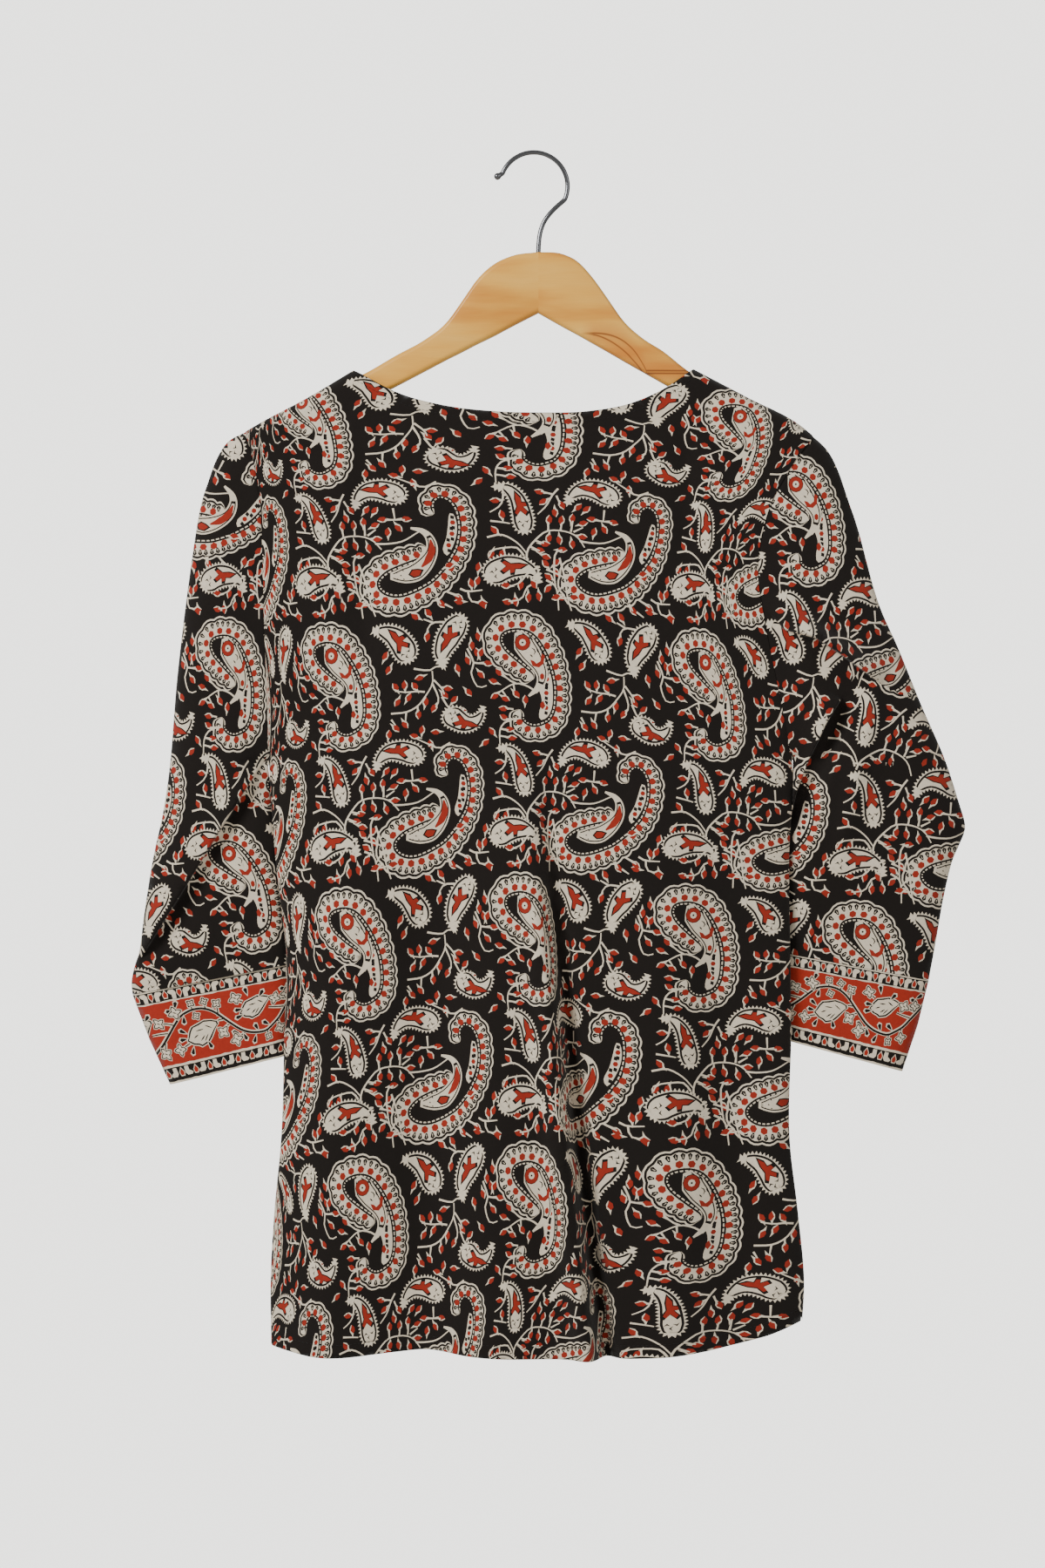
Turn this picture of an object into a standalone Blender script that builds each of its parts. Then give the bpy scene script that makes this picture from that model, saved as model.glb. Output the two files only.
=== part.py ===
"""A short kurta tunic with three-quarter sleeves, hanging on a wooden hanger with a wire hook.

Millimetres in the tables, metres in the meshes. +Z is up, the garment's back faces -Y, and the origin is
the inside top of the hook, where it hangs. Each cloth piece is a wall lofted through worked-out sections.
"""

import bmesh
import bpy
import numpy as np

MM = 0.001
CLOTH = 1.5  # wall thickness of every cloth piece
SEAM_GAP = 0.3  # between two pieces that are sewn together

PRINT = (0.11, 0.09, 0.08)  # the printed cotton, seen from far off
BAND_RED = (0.45, 0.06, 0.03)
WOOD = (0.71, 0.43, 0.17)
STEEL = (0.62, 0.62, 0.63)

# ---------------------------------------------------------------- the body's driving sizes

UNDERARM = 0.36  # share of the side edge, from shoulder point to hem, that is armhole
ROLL = 9.0  # radius of the cloth where it bends over the hanger's arm
ARMHOLE_DEPTH = 9.0  # half depth of the flattened armhole
UNDERARM_SLANT = 0.4  # how much the wall's inside rises at the underarm point

# Across the body, the depth grows from a side edge to the middle as (1 - |x|**SIDE_ROUND)**(1/SIDE_BLUNT),
# with x from -1 to 1, and at the armholes as 1 - |x|**ARMHOLE_FLAT.
SIDE_ROUND = 2.6
SIDE_BLUNT = 2.2
ARMHOLE_FLAT = 3
FOLD_RISE = 1.6  # the folds rise from the side edges this many times faster than the depth does

# Side edges and half depth at the middle, by height.
#                 height   left   right  depth
BODY = np.array([[-915.0, -202.0, 205.0, 25.0],
                 [-868.0, -202.5, 208.0, 24.5],
                 [-811.0, -199.5, 203.0, 24.0],
                 [-758.0, -194.5, 197.0, 23.5],
                 [-676.0, -192.0, 198.0, 22.5],
                 [-620.0, -190.5, 197.5, 22.0],
                 [-540.0, -199.0, 196.5, 21.0],
                 [-463.0, -204.0, 198.5, 19.0],
                 [-417.0, -205.0, 189.0, 17.5],
                 [-363.0, -207.0, 178.0, 15.5],
                 [-316.0, -208.0, 172.0, 13.5],
                 [-289.0, -209.0, 176.0, 12.0],
                 [-263.0, -210.5, 185.0, 11.0],
                 [-239.0, -215.0, 199.0, 10.0],
                 [-213.0, -222.0, 219.0, 9.2]])

# Shoulder seams, from the shoulder point to the neck corner.
#                            x     height
SHOULDER_LEFT = np.array([[-222.0, -213.0],
                          [-210.0, -206.0],
                          [-176.0, -188.0],
                          [-139.0, -166.0]])
SHOULDER_RIGHT = np.array([[123.0, -165.0],
                           [165.0, -187.0],
                           [206.0, -209.0],
                           [217.0, -218.0]])

# Neck edges, from corner to corner: the back is shallow and the front is scooped.
#                        x     height
BACK_NECK = np.array([[-139.0, -166.0],
                      [-104.0, -184.0],
                      [-66.0, -194.0],
                      [-30.0, -198.0],
                      [5.0, -199.0],
                      [41.0, -198.0],
                      [77.0, -191.0],
                      [102.0, -179.5],
                      [123.0, -165.0]])
FRONT_NECK = np.array([[-139.0, -166.0],
                       [-112.0, -204.0],
                       [-78.0, -240.0],
                       [-40.0, -260.0],
                       [-8.0, -265.0],
                       [24.0, -260.0],
                       [62.0, -240.0],
                       [96.0, -204.0],
                       [123.0, -165.0]])

# Hem, from side seam to side seam.
#                  x     height
HEM = np.array([[-202.0, -915.0],
                [-168.0, -922.0],
                [-107.0, -918.5],
                [-82.0, -917.0],
                [-50.0, -921.0],
                [15.0, -923.0],
                [57.0, -923.0],
                [112.0, -920.0],
                [157.0, -913.0],
                [179.0, -907.0],
                [206.0, -896.0]])

# The deep fold that falls down the back: its line, and how far its lip stands above its valley.
#                         height    x    fall
MAIN_FOLD = np.array([[-923.0, 50.0, 25.0],
                      [-832.0, 38.0, 25.0],
                      [-750.0, 28.0, 23.0],
                      [-653.0, 19.0, 19.0],
                      [-550.0, 9.0, 9.0],
                      [-450.0, 4.0, 0.0]])
LIP_SIDE = 10.0  # the lip's crest lies this far left of the fold's line
VALLEY_SIDE = 9.0  # and the valley this far right of it
LIP_WIDTH = 13.0
VALLEY_WIDTH = 12.0
LIP_SHARE = 0.5  # of the fall, above the cloth around it
VALLEY_SHARE = 0.55  # of the fall, below the cloth around it

# Soft flares. Each runs along a straight line and fades out over FADE of it at both ends; height is away
# from the wearer.
FADE = 0.3
#                      x     z   to x    to z  width height
BACK_FLARES = np.array([[-146, -430, -170, -1250, 30, 7],
                        [-72, -420, -92, -1250, 26, -11],
                        [-18, -380, -30, -1250, 28, 6],
                        [96, -400, 108, -1250, 28, 8],
                        [142, -470, 168, -1250, 24, -9],
                        [-132, -200, -130, -420, 10, -4],
                        [117, -200, 117, -330, 9, -3]], float)
FRONT_FLARES = np.array([[150, -430, 166, -1250, 28, 7],
                         [88, -400, 96, -1250, 26, -12],
                         [30, -360, 26, -1250, 24, 9],
                         [-38, -380, -48, -1250, 24, -13],
                         [-100, -420, -112, -1250, 28, 9],
                         [-158, -480, -168, -1250, 24, -6]], float)

# Shares of the side edge where the rows lie. The first ones go over the shoulder, and one is the underarm.
ARMHOLE_ROWS = (0, 0.002, 0.0055, 0.0125, 0.03, 0.07, 0.12, 0.18, 0.24, 0.295, 0.333, 0.352, UNDERARM)
BACK_ROWS = ARMHOLE_ROWS + (0.40, 0.45, 0.505, 0.565, 0.62, 0.68, 0.74, 0.80, 0.865, 0.93, 1)
FRONT_ROWS = ARMHOLE_ROWS + (0.41, 0.48, 0.56, 0.65, 0.74, 0.83, 0.92, 1)

# Shares of the width where the columns lie. The neck corners and the deep fold have their own.
NECK_LEFT = 0.189
NECK_RIGHT = 0.786
NECK_ROWS = 0.12  # down to this share, the neck's columns turn from upright to even
FOLD_COLUMN = 0.57
FOLD_ROWS = (0.05, 0.40)  # between these shares, the fold's column moves over to the fold's line
BACK_COLUMNS = (0, 0.004, 0.016, 0.045, 0.085, 0.135, NECK_LEFT, 0.193, 0.198, 0.205, 0.25, 0.30, 0.36, 0.42,
                0.475, 0.51, 0.53, 0.545, 0.557, FOLD_COLUMN, 0.582, 0.595, 0.61, 0.64, 0.69, 0.735, 0.768,
                0.777, 0.782, NECK_RIGHT, 0.835, 0.88, 0.92, 0.957, 0.984, 0.996, 1)
FRONT_COLUMNS = (0, 0.004, 0.016, 0.045, 0.085, 0.135, NECK_LEFT, 0.193, 0.198, 0.205, 0.26, 0.32, 0.38, 0.44,
                 0.50, 0.56, 0.62, 0.68, 0.735, 0.768, 0.777, 0.782, NECK_RIGHT, 0.835, 0.88, 0.92, 0.957,
                 0.984, 0.996, 1)

# ---------------------------------------------------------------- the sleeves' driving sizes

# Sections across each sleeve, from the armhole to the band: the outer edge and the underarm edge, half
# depth, how far the section lies towards the front, and how much it keeps of the armhole's curve.
#                        out x   out z   in x   in z  depth shift curve
LEFT_SLEEVE = np.array([[-222.5, -213.0, -204.6, -466.0, 9.0, 0.0, 1.00],
                        [-235.0, -220.5, -204.6, -467.0, 9.6, 0.0, 0.80],
                        [-243.5, -233.0, -204.6, -468.0, 10.2, 0.0, 0.60],
                        [-250.0, -250.0, -204.5, -469.0, 11.0, 0.0, 0.40],
                        [-257.5, -276.0, -204.5, -470.0, 12.0, 0.0, 0.20],
                        [-266.5, -336.0, -204.4, -471.0, 13.0, 0.5, 0.00],
                        [-274.5, -403.0, -204.3, -472.0, 14.0, 0.5, 0.00],
                        [-279.5, -464.0, -204.2, -473.2, 14.8, 1.0, 0.00],
                        [-285.0, -504.0, -204.1, -474.6, 15.4, 1.5, 0.00],
                        [-293.0, -541.0, -204.0, -476.2, 15.8, 2.0, 0.00],
                        [-300.0, -584.0, -203.9, -478.2, 16.0, 2.5, 0.00],
                        [-303.5, -611.0, -203.2, -480.5, 15.5, 3.0, 0.00],
                        [-305.0, -616.0, -201.6, -486.0, 9.0, 6.0, 0.00],
                        [-309.0, -627.0, -197.4, -520.0, 10.0, 9.0, 0.00],
                        [-311.0, -638.0, -191.8, -568.0, 10.8, 11.0, 0.00],
                        [-310.0, -646.0, -184.0, -621.5, 11.5, 13.0, 0.00]])
RIGHT_SLEEVE = np.array([[217.5, -218.0, 199.1, -462.0, 9.0, 0.0, 1.00],
                         [227.0, -229.0, 199.2, -463.0, 9.6, 0.0, 0.90],
                         [234.5, -244.0, 199.2, -464.0, 10.2, 0.0, 0.78],
                         [242.0, -266.0, 199.3, -465.0, 11.0, 0.0, 0.62],
                         [250.0, -290.0, 199.3, -466.2, 12.0, 0.0, 0.46],
                         [264.5, -343.0, 199.3, -467.6, 13.2, 0.5, 0.30],
                         [280.5, -380.0, 199.4, -469.4, 14.2, 0.5, 0.18],
                         [298.0, -423.0, 199.4, -471.8, 15.0, 1.0, 0.08],
                         [316.0, -464.0, 199.4, -475.0, 15.6, 1.5, 0.00],
                         [328.0, -500.0, 199.2, -480.0, 15.6, 3.5, 0.00],
                         [333.0, -518.0, 199.2, -492.0, 14.8, 5.5, 0.00],
                         [328.0, -529.0, 197.2, -512.0, 14.0, 8.0, 0.00],
                         [322.5, -545.0, 194.8, -540.0, 13.2, 10.5, 0.00],
                         [316.0, -574.0, 192.8, -572.0, 12.6, 12.0, 0.00],
                         [311.0, -604.0, 192.0, -598.0, 12.0, 14.0, 0.00],
                         [305.5, -635.0, 191.0, -613.5, 11.6, 15.5, 0.00]])
LEFT_BAND = np.array([[-310.0, -646.5, -184.0, -622.0, 11.5, 13.0, 0.00],
                      [-297.0, -681.0, -184.0, -657.0, 11.8, 13.5, 0.00],
                      [-281.0, -716.0, -185.5, -692.0, 12.0, 14.0, 0.00]])
RIGHT_BAND = np.array([[305.4, -635.5, 191.0, -614.0, 11.6, 15.5, 0.00],
                       [297.0, -670.0, 190.0, -647.0, 11.8, 16.0, 0.00],
                       [285.0, -706.0, 189.0, -680.0, 12.0, 16.5, 0.00]])

# Drag folds of the right sleeve, from the armhole towards the elbow and back to the underarm.
#                             x     z   to x  to z width height
RIGHT_SLEEVE_FOLDS = np.array([[165, -335, 280, -418, 9, 8],
                               [246, -405, 196, -535, 7, -7],
                               [262, -400, 232, -560, 9, 5]], float)
NO_FOLDS = np.zeros((0, 6))

# ---------------------------------------------------------------- the hanger's driving sizes

HANGER_MIDDLE = 3.5  # x of the glued joint
HANGER_HALF = 6.0  # half its thickness
HANGER_EDGE = 4.5  # radius of its rounded edges
GLUE_LINE = 0.3
BORE_DEPTH = 18.0
BORE_CLEARANCE = 0.3

# Sections along each arm, from the joint to the tip. The last ones round off the tip.
#                      x      top   bottom  half
LEFT_ARM = np.array([[3.5, -75.0, -122.0, 6.0],
                     [-17.0, -78.0, -132.5, 6.0],
                     [-33.0, -86.0, -141.0, 6.0],
                     [-43.5, -96.0, -146.0, 6.0],
                     [-54.0, -111.0, -151.5, 6.0],
                     [-67.0, -129.0, -158.0, 6.0],
                     [-84.0, -142.5, -167.0, 6.0],
                     [-105.0, -154.0, -178.0, 6.0],
                     [-131.0, -168.9, -191.5, 6.0],
                     [-150.0, -177.5, -201.0, 6.0],
                     [-176.0, -192.5, -214.0, 6.0],
                     [-203.0, -208.5, -227.0, 5.8],
                     [-211.0, -213.5, -227.5, 5.2],
                     [-215.0, -217.5, -225.0, 3.6]])
RIGHT_ARM = np.array([[3.5, -75.0, -122.0, 6.0],
                      [22.0, -76.5, -132.5, 6.0],
                      [34.0, -82.5, -139.0, 6.0],
                      [45.5, -95.0, -145.5, 6.0],
                      [57.0, -111.0, -152.0, 6.0],
                      [69.0, -128.0, -159.0, 6.0],
                      [84.0, -141.5, -167.5, 6.0],
                      [99.0, -151.0, -176.0, 6.0],
                      [118.5, -166.3, -187.0, 6.0],
                      [140.0, -178.5, -199.0, 6.0],
                      [165.0, -192.0, -212.5, 6.0],
                      [196.0, -209.5, -228.0, 5.8],
                      [207.0, -216.0, -229.5, 5.2],
                      [211.5, -220.0, -227.0, 3.6]])

WIRE = 1.8  # radius of the hook's wire
HOOK_RADIUS = 26.0  # to the middle of the wire
HOOK_ENTRY = -24.0  # degrees on the arc where the shank's bend ends
HOOK_EXIT = 158.0  # degrees on the arc where the tip flicks out
HOOK_STEPS = 24  # points on the arc
SHANK_TOP = -74.0

# The shank's bend, from the straight shank to the arc.
#                      x    height
HOOK_BEND = np.array([[3.9, -66.0],
                      [5.2, -58.0],
                      [8.0, -51.0],
                      [12.5, -45.0],
                      [18.0, -39.5]])

# The ball on the wire's tip, by its distance out from the arc; thickness is a share of the wire's.
TIP_WAY = np.array([-0.86, -0.51])
#                     out  thickness
HOOK_TIP = np.array([[1.2, 1.00],
                     [2.2, 1.05],
                     [2.8, 1.25],
                     [3.5, 1.42],
                     [4.6, 1.50],
                     [5.7, 1.38],
                     [6.4, 1.10],
                     [6.9, 0.60]])


def smooth(at, known, values):
    """A cubic through a table's points; known rises, and past its ends the value stays level."""
    at = np.clip(at, known[0], known[-1])
    slope = np.gradient(values, known)
    i = np.clip(np.searchsorted(known, at) - 1, 0, len(known) - 2)
    span = known[i + 1] - known[i]
    t = (at - known[i]) / span
    start = (1 + 2 * t) * (1 - t) ** 2 * values[i] + t * (1 - t) ** 2 * span * slope[i]
    end = t * t * (3 - 2 * t) * values[i + 1] + t * t * (t - 1) * span * slope[i + 1]
    return start + end


def ease(t):
    t = np.clip(t, 0, 1)
    return t * t * (3 - 2 * t)


def unit(vectors):
    return vectors / np.maximum(np.linalg.norm(vectors, axis=-1, keepdims=True), 1e-9)


def relief(x, z, folds):
    """How far the listed folds lift the cloth at each point."""
    lift = np.zeros(np.shape(x))
    for from_x, from_z, to_x, to_z, width, height in folds:
        run = np.array([to_x - from_x, to_z - from_z])
        length = np.hypot(*run)
        run /= length
        along = ((x - from_x) * run[0] + (z - from_z) * run[1]) / length
        across = (x - from_x) * run[1] - (z - from_z) * run[0]
        fade = ease(along / FADE) * ease((1 - along) / FADE)
        lift += height * fade * np.exp(-((across / width) ** 2))
    return lift


def main_fold(x, z):
    """The lip and the valley of the deep fold in the back."""
    heights, line, fall = MAIN_FOLD.T
    beside = x - smooth(z, heights, line)
    lip = LIP_SHARE * np.exp(-(((beside + LIP_SIDE) / LIP_WIDTH) ** 2))
    valley = VALLEY_SHARE * np.exp(-(((beside - VALLEY_SIDE) / VALLEY_WIDTH) ** 2))
    return smooth(z, heights, fall) * (lip - valley)


def from_shoulder(x, z):
    """Distance from each point to the nearer shoulder seam."""
    nearest = np.full(np.shape(x), np.inf)
    for seam in (SHOULDER_LEFT, SHOULDER_RIGHT):
        for start, end in zip(seam[:-1], seam[1:]):
            run = end - start
            share = ((x - start[0]) * run[0] + (z - start[1]) * run[1]) / (run @ run)
            share = np.clip(share, 0, 1)
            away = np.hypot(x - start[0] - share * run[0], z - start[1] - share * run[1])
            nearest = np.minimum(nearest, away)
    return nearest


def over_shoulder(x, z):
    """0 on the shoulder seam, and 1 where the cloth has come round the hanger's arm."""
    left = 1 - np.minimum(from_shoulder(x, z) / ROLL, 1)
    return np.sqrt(np.maximum(1 - left * left, 0))


def top_edge(x, neck):
    """Height of the panel's upper edge: shoulder, neck, shoulder."""
    height = smooth(x, neck[:, 0], neck[:, 1])
    left, right = SHOULDER_LEFT, SHOULDER_RIGHT
    height = np.where(x < left[-1, 0], smooth(x, left[:, 0], left[:, 1]), height)
    return np.where(x > right[0, 0], smooth(x, right[:, 0], right[:, 1]), height)


def side_edge(share, side):
    """(x, z) of the left or right edge at these shares of the way from shoulder point to hem."""
    top, hem = (SHOULDER_LEFT[0], HEM[0]) if side == "left" else (SHOULDER_RIGHT[-1], HEM[-1])
    z = top[1] + share * (hem[1] - top[1])
    column = 1 if side == "left" else 2
    x = smooth(z, BODY[:, 0], BODY[:, column])
    x = np.where(share == 0, top[0], x)
    return np.where(share == 1, hem[0], x), z


def edge_depth(share):
    """Half depth at the side edges: the armhole's, which closes at the underarm."""
    below_middle = np.clip(share / UNDERARM * 2 - 1, 0, 1)
    return ARMHOLE_DEPTH * np.sqrt(1 - below_middle**4)


def armhole(side):
    """The armhole's loop, down the back and up the front, and the way in from it, both in millimetres."""
    share = np.array(ARMHOLE_ROWS)
    x, z = side_edge(share, side)
    depth = edge_depth(share) * over_shoulder(x, z)
    down = np.stack([x, -depth, z], axis=1)
    up = (down * (1, -1, 1))[-2:0:-1]
    loop = np.concatenate([down, up])
    return loop, ring_inward(loop, np.array([0.0, 0.0, -1.0]))


def ring_inward(loop, axis):
    """For each point of a flat loop, the way in, square to the loop in the plane of axis and Y."""
    flat = np.stack([loop @ axis, loop[:, 1]], axis=1)
    tangent = np.roll(flat, -1, axis=0) - np.roll(flat, 1, axis=0)
    inward = unit(np.stack([-tangent[:, 1], tangent[:, 0]], axis=1))
    inward *= np.sign(((flat.mean(axis=0) - flat) * inward).sum(axis=1))[:, None].mean()
    return inward[:, :1] * axis + inward[:, 1:] * np.array([0.0, 1.0, 0.0])


def grid_inward(points, side):
    """The way in at each point of a panel's grid, from its neighbours: +Y on the back and -Y on the front."""
    across = np.gradient(points, axis=1)
    down = np.gradient(points, axis=0)
    return -side * unit(np.cross(across, down))


def add_object(name, points, faces, colour, roughness, metallic=0.0):
    """One mesh object with its own material, from points in millimetres."""
    mesh = bpy.data.meshes.new(name)
    mesh.from_pydata((np.asarray(points) * MM).tolist(), [], faces)
    mesh.validate()
    built = bmesh.new()
    built.from_mesh(mesh)
    bmesh.ops.recalc_face_normals(built, faces=built.faces)
    built.to_mesh(mesh)
    built.free()
    mesh.shade_smooth()
    mesh.set_sharp_from_angle(angle=np.radians(50))
    piece = bpy.data.objects.new(name, mesh)
    bpy.context.scene.collection.objects.link(piece)
    piece.data.materials.append(finish(name, colour, roughness, metallic))
    return piece


def finish(name, colour, roughness, metallic):
    material = bpy.data.materials.new(name)
    material.use_nodes = True
    shader = material.node_tree.nodes["Principled BSDF"]
    shader.inputs["Base Color"].default_value = (*colour, 1)
    shader.inputs["Roughness"].default_value = roughness
    shader.inputs["Metallic"].default_value = metallic
    return material


def grid_wall(outer, inner):
    """Points and faces of a closed wall between two open grids of the same size: the rim, then both sides."""
    rows, columns = outer.shape[:2]
    index = np.arange(rows * columns).reshape(rows, columns)
    under = index + rows * columns
    faces = []
    border = [*index[0], *index[1:, -1], *index[-1, -2::-1], *index[-2:0:-1, 0]]
    for here, after in zip(border, border[1:] + border[:1]):
        faces.append([int(after), int(here), int(under.flat[here]), int(under.flat[after])])
    for r in range(rows - 1):
        for c in range(columns - 1):
            corners = (index[r, c], index[r, c + 1], index[r + 1, c + 1], index[r + 1, c])
            faces.append([int(i) for i in corners])
            faces.append([int(i) + rows * columns for i in reversed(corners)])
    return np.concatenate([outer.reshape(-1, 3), inner.reshape(-1, 3)]), faces


def tube_wall(outer, inner):
    """Points and faces of a closed wall between two tubes, each a stack of closed rings."""
    rings, around = outer.shape[:2]
    index = np.arange(rings * around).reshape(rings, around)
    faces = []
    for r in range(rings - 1):
        for c in range(around):
            d = (c + 1) % around
            corners = (index[r, c], index[r, d], index[r + 1, d], index[r + 1, c])
            faces.append([int(i) for i in corners])
            faces.append([int(i) + rings * around for i in reversed(corners)])
    for ring in (index[0], index[-1]):
        for c in range(around):
            here, after = int(ring[c]), int(ring[(c + 1) % around])
            faces.append([here, after, after + rings * around, here + rings * around])
    return np.concatenate([outer.reshape(-1, 3), inner.reshape(-1, 3)]), faces


def panel_grid(side, rows, columns, neck):
    """The outer face of the back (side -1) or the front (side 1), and the way in from each point."""
    share = np.array(rows)[:, None]
    column = np.array(columns)[None, :]
    left_x, left_z = side_edge(share, "left")
    right_x, right_z = side_edge(share, "right")
    level = left_z + column * (right_z - left_z)
    if side < 0:
        fold = (smooth(level, MAIN_FOLD[:, 0], MAIN_FOLD[:, 1]) - left_x) / (right_x - left_x)
        moved = ease((share - FOLD_ROWS[0]) / (FOLD_ROWS[1] - FOLD_ROWS[0]))
        fold = FOLD_COLUMN + (fold - FOLD_COLUMN) * moved
        before = column / FOLD_COLUMN * fold
        after = 1 - (1 - column) / (1 - FOLD_COLUMN) * (1 - fold)
        column = np.where(column < FOLD_COLUMN, before, after)
    even = ease(share / NECK_ROWS)
    with_left = np.clip(1 - column / NECK_LEFT, 0, 1) * (1 - even) + (1 - column) * even
    with_right = np.clip(1 - (1 - column) / (1 - NECK_RIGHT), 0, 1) * (1 - even) + column * even
    x = left_x[0] + column * (right_x[0] - left_x[0])
    x = x + with_left * (left_x - left_x[0]) + with_right * (right_x - right_x[0])
    top_x = x[:1]
    hem_x = x[-1:]
    hem = smooth(hem_x, HEM[:, 0], HEM[:, 1])
    z = top_edge(top_x, neck) * (1 - share) + hem * share

    across = np.abs(2 * column - 1)
    edge = edge_depth(share)
    flat = 1 - across**ARMHOLE_FLAT
    rounded = np.maximum(1 - across**SIDE_ROUND, 0) ** (1 / SIDE_BLUNT)
    profile = rounded + (flat - rounded) * edge / ARMHOLE_DEPTH
    middle = smooth(z, BODY[:, 0], BODY[:, 3])
    depth = edge + (middle - edge) * profile
    if side < 0:
        lift = main_fold(x, z) + relief(x, z, BACK_FLARES)
    else:
        lift = relief(x, z, FRONT_FLARES)
    depth = (depth + lift * ease(rounded * FOLD_RISE)) * over_shoulder(x, z)
    depth = np.maximum(depth, SEAM_GAP / 2)
    points = np.stack([x, side * depth, z], axis=2)

    inward = grid_inward(points, side)
    shoulder = (top_x < neck[0, 0] + 1) | (top_x > neck[-1, 0] - 1)
    seam_run = unit(np.gradient(points[0], axis=0) * (1, 0, 1))
    seam_inward = np.stack([seam_run[:, 2], 0 * seam_run[:, 0], -seam_run[:, 0]], axis=1)
    inward[0] = np.where(shoulder[0][:, None], seam_inward, inward[0])
    last = len(ARMHOLE_ROWS) - 1
    for name, edge_column, way in (("left", 0, 1.0), ("right", -1, -1.0)):
        _, loop_inward = armhole(name)
        half = loop_inward[: last + 1] * (1, -side, 1)
        inward[:last, edge_column] = half[:last]
        inward[last, edge_column] = unit(np.array([way, 0.0, UNDERARM_SLANT]))
        inward[last + 1 :, edge_column] = (way, 0, 0)
    return points, inward


def add_panel(name, side, rows, columns, neck):
    outer, inward = panel_grid(side, rows, columns, neck)
    points, faces = grid_wall(outer, outer + inward * CLOTH)
    return add_object(name, points, faces, PRINT, 0.85)


def sleeve_rings(side, sections, folds):
    """The outer face of a sleeve or band, a ring for each section, and the way in from each point."""
    loop, _ = armhole(side)
    top, bottom = loop[0], loop[len(ARMHOLE_ROWS) - 1]
    down = (loop[:, 2] - top[2]) / (bottom[2] - top[2])
    straight = top + down[:, None] * (bottom - top)
    curve = (loop - straight) * (1, 0, 0)
    rings = []
    inwards = []
    for out_x, out_z, in_x, in_z, depth, shift, keep in sections:
        outer = np.array([out_x, 0, out_z])
        under = np.array([in_x, 0, in_z])
        ring = outer + down[:, None] * (under - outer) + keep * curve
        flat = loop[:, 1] / ARMHOLE_DEPTH
        lift = relief(ring[:, 0], ring[:, 2], folds) * np.maximum(-flat, 0)
        ring[:, 1] = shift + depth * flat - lift
        rings.append(ring)
        inwards.append(ring_inward(ring, unit(under - outer)))
    return np.array(rings), np.array(inwards)


def add_sleeve(name, side, sections, folds, colour):
    outer, inward = sleeve_rings(side, sections, folds)
    points, faces = tube_wall(outer, outer + inward * CLOTH)
    return add_object(name, points, faces, colour, 0.85)


def arm_section(x, top, bottom, half):
    """A rounded rectangle across a hanger arm."""
    edge = min(HANGER_EDGE, half * 0.95, (top - bottom) * 0.45)
    turns = np.radians([0, 30, 60, 90])
    corners = ((1, 1, 0), (-1, 1, 90), (-1, -1, 180), (1, -1, 270))
    points = []
    for side, up, start in corners:
        centre_y = side * (half - edge)
        centre_z = top - edge if up > 0 else bottom + edge
        angles = turns + np.radians(start)
        points += [(x, centre_y + edge * np.cos(a), centre_z + edge * np.sin(a)) for a in angles]
    return points


def add_arm(name, sections, way):
    """Half of the hanger: sections along the arm, flat at the glued joint and closed at the tip."""
    rings = [arm_section(*row) for row in sections]
    joint = HANGER_MIDDLE + way * GLUE_LINE / 2
    rings[0] = [(joint, y, z) for _, y, z in rings[0]]
    around = len(rings[0])
    faces = []
    for r in range(len(rings) - 1):
        for c in range(around):
            d = (c + 1) % around
            faces.append([r * around + c, r * around + d, (r + 1) * around + d, (r + 1) * around + c])
    faces.append(list(range(around)))
    faces.append([(len(rings) - 1) * around + c for c in range(around)])
    arm = add_object(name, np.array(rings).reshape(-1, 3), faces, WOOD, 0.35)
    cut = arm.modifiers.new("hook bore", "BOOLEAN")
    cut.operation = "DIFFERENCE"
    cut.object = bpy.data.objects["hook_bore"]
    return arm


def add_bore():
    """The hole for the hook's shank, which both halves share."""
    radius = (WIRE + BORE_CLEARANCE) * MM
    top = LEFT_ARM[0, 1] + 6
    low = LEFT_ARM[0, 1] - BORE_DEPTH - BORE_CLEARANCE
    mesh = bpy.data.meshes.new("hook_bore")
    drill = bmesh.new()
    bmesh.ops.create_cone(drill, cap_ends=True, segments=12, radius1=radius, radius2=radius,
                          depth=(top - low) * MM)
    bmesh.ops.translate(drill, verts=drill.verts, vec=(HANGER_MIDDLE * MM, 0, (top + low) / 2 * MM))
    drill.to_mesh(mesh)
    drill.free()
    bore = bpy.data.objects.new("hook_bore", mesh)
    bpy.context.scene.collection.objects.link(bore)
    bore.hide_render = True
    bore.display_type = "WIRE"


def hook_route():
    """The wire's middle line, from the foot of the shank to the tip, and the wire's thickness there."""
    foot = LEFT_ARM[0, 1] - BORE_DEPTH
    shank = [[HANGER_MIDDLE, foot], [HANGER_MIDDLE, (foot + SHANK_TOP) / 2], [HANGER_MIDDLE, SHANK_TOP]]
    turns = np.radians(np.linspace(HOOK_ENTRY, HOOK_EXIT, HOOK_STEPS))
    arc = HOOK_RADIUS * np.stack([np.cos(turns), np.sin(turns)], axis=1) + (0, WIRE - HOOK_RADIUS)
    tip = arc[-1] + HOOK_TIP[:, :1] * TIP_WAY
    route = np.concatenate([shank, HOOK_BEND, arc, tip])
    thickness = np.ones(len(route))
    thickness[-len(tip) :] = HOOK_TIP[:, 1]
    return route, thickness


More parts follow.
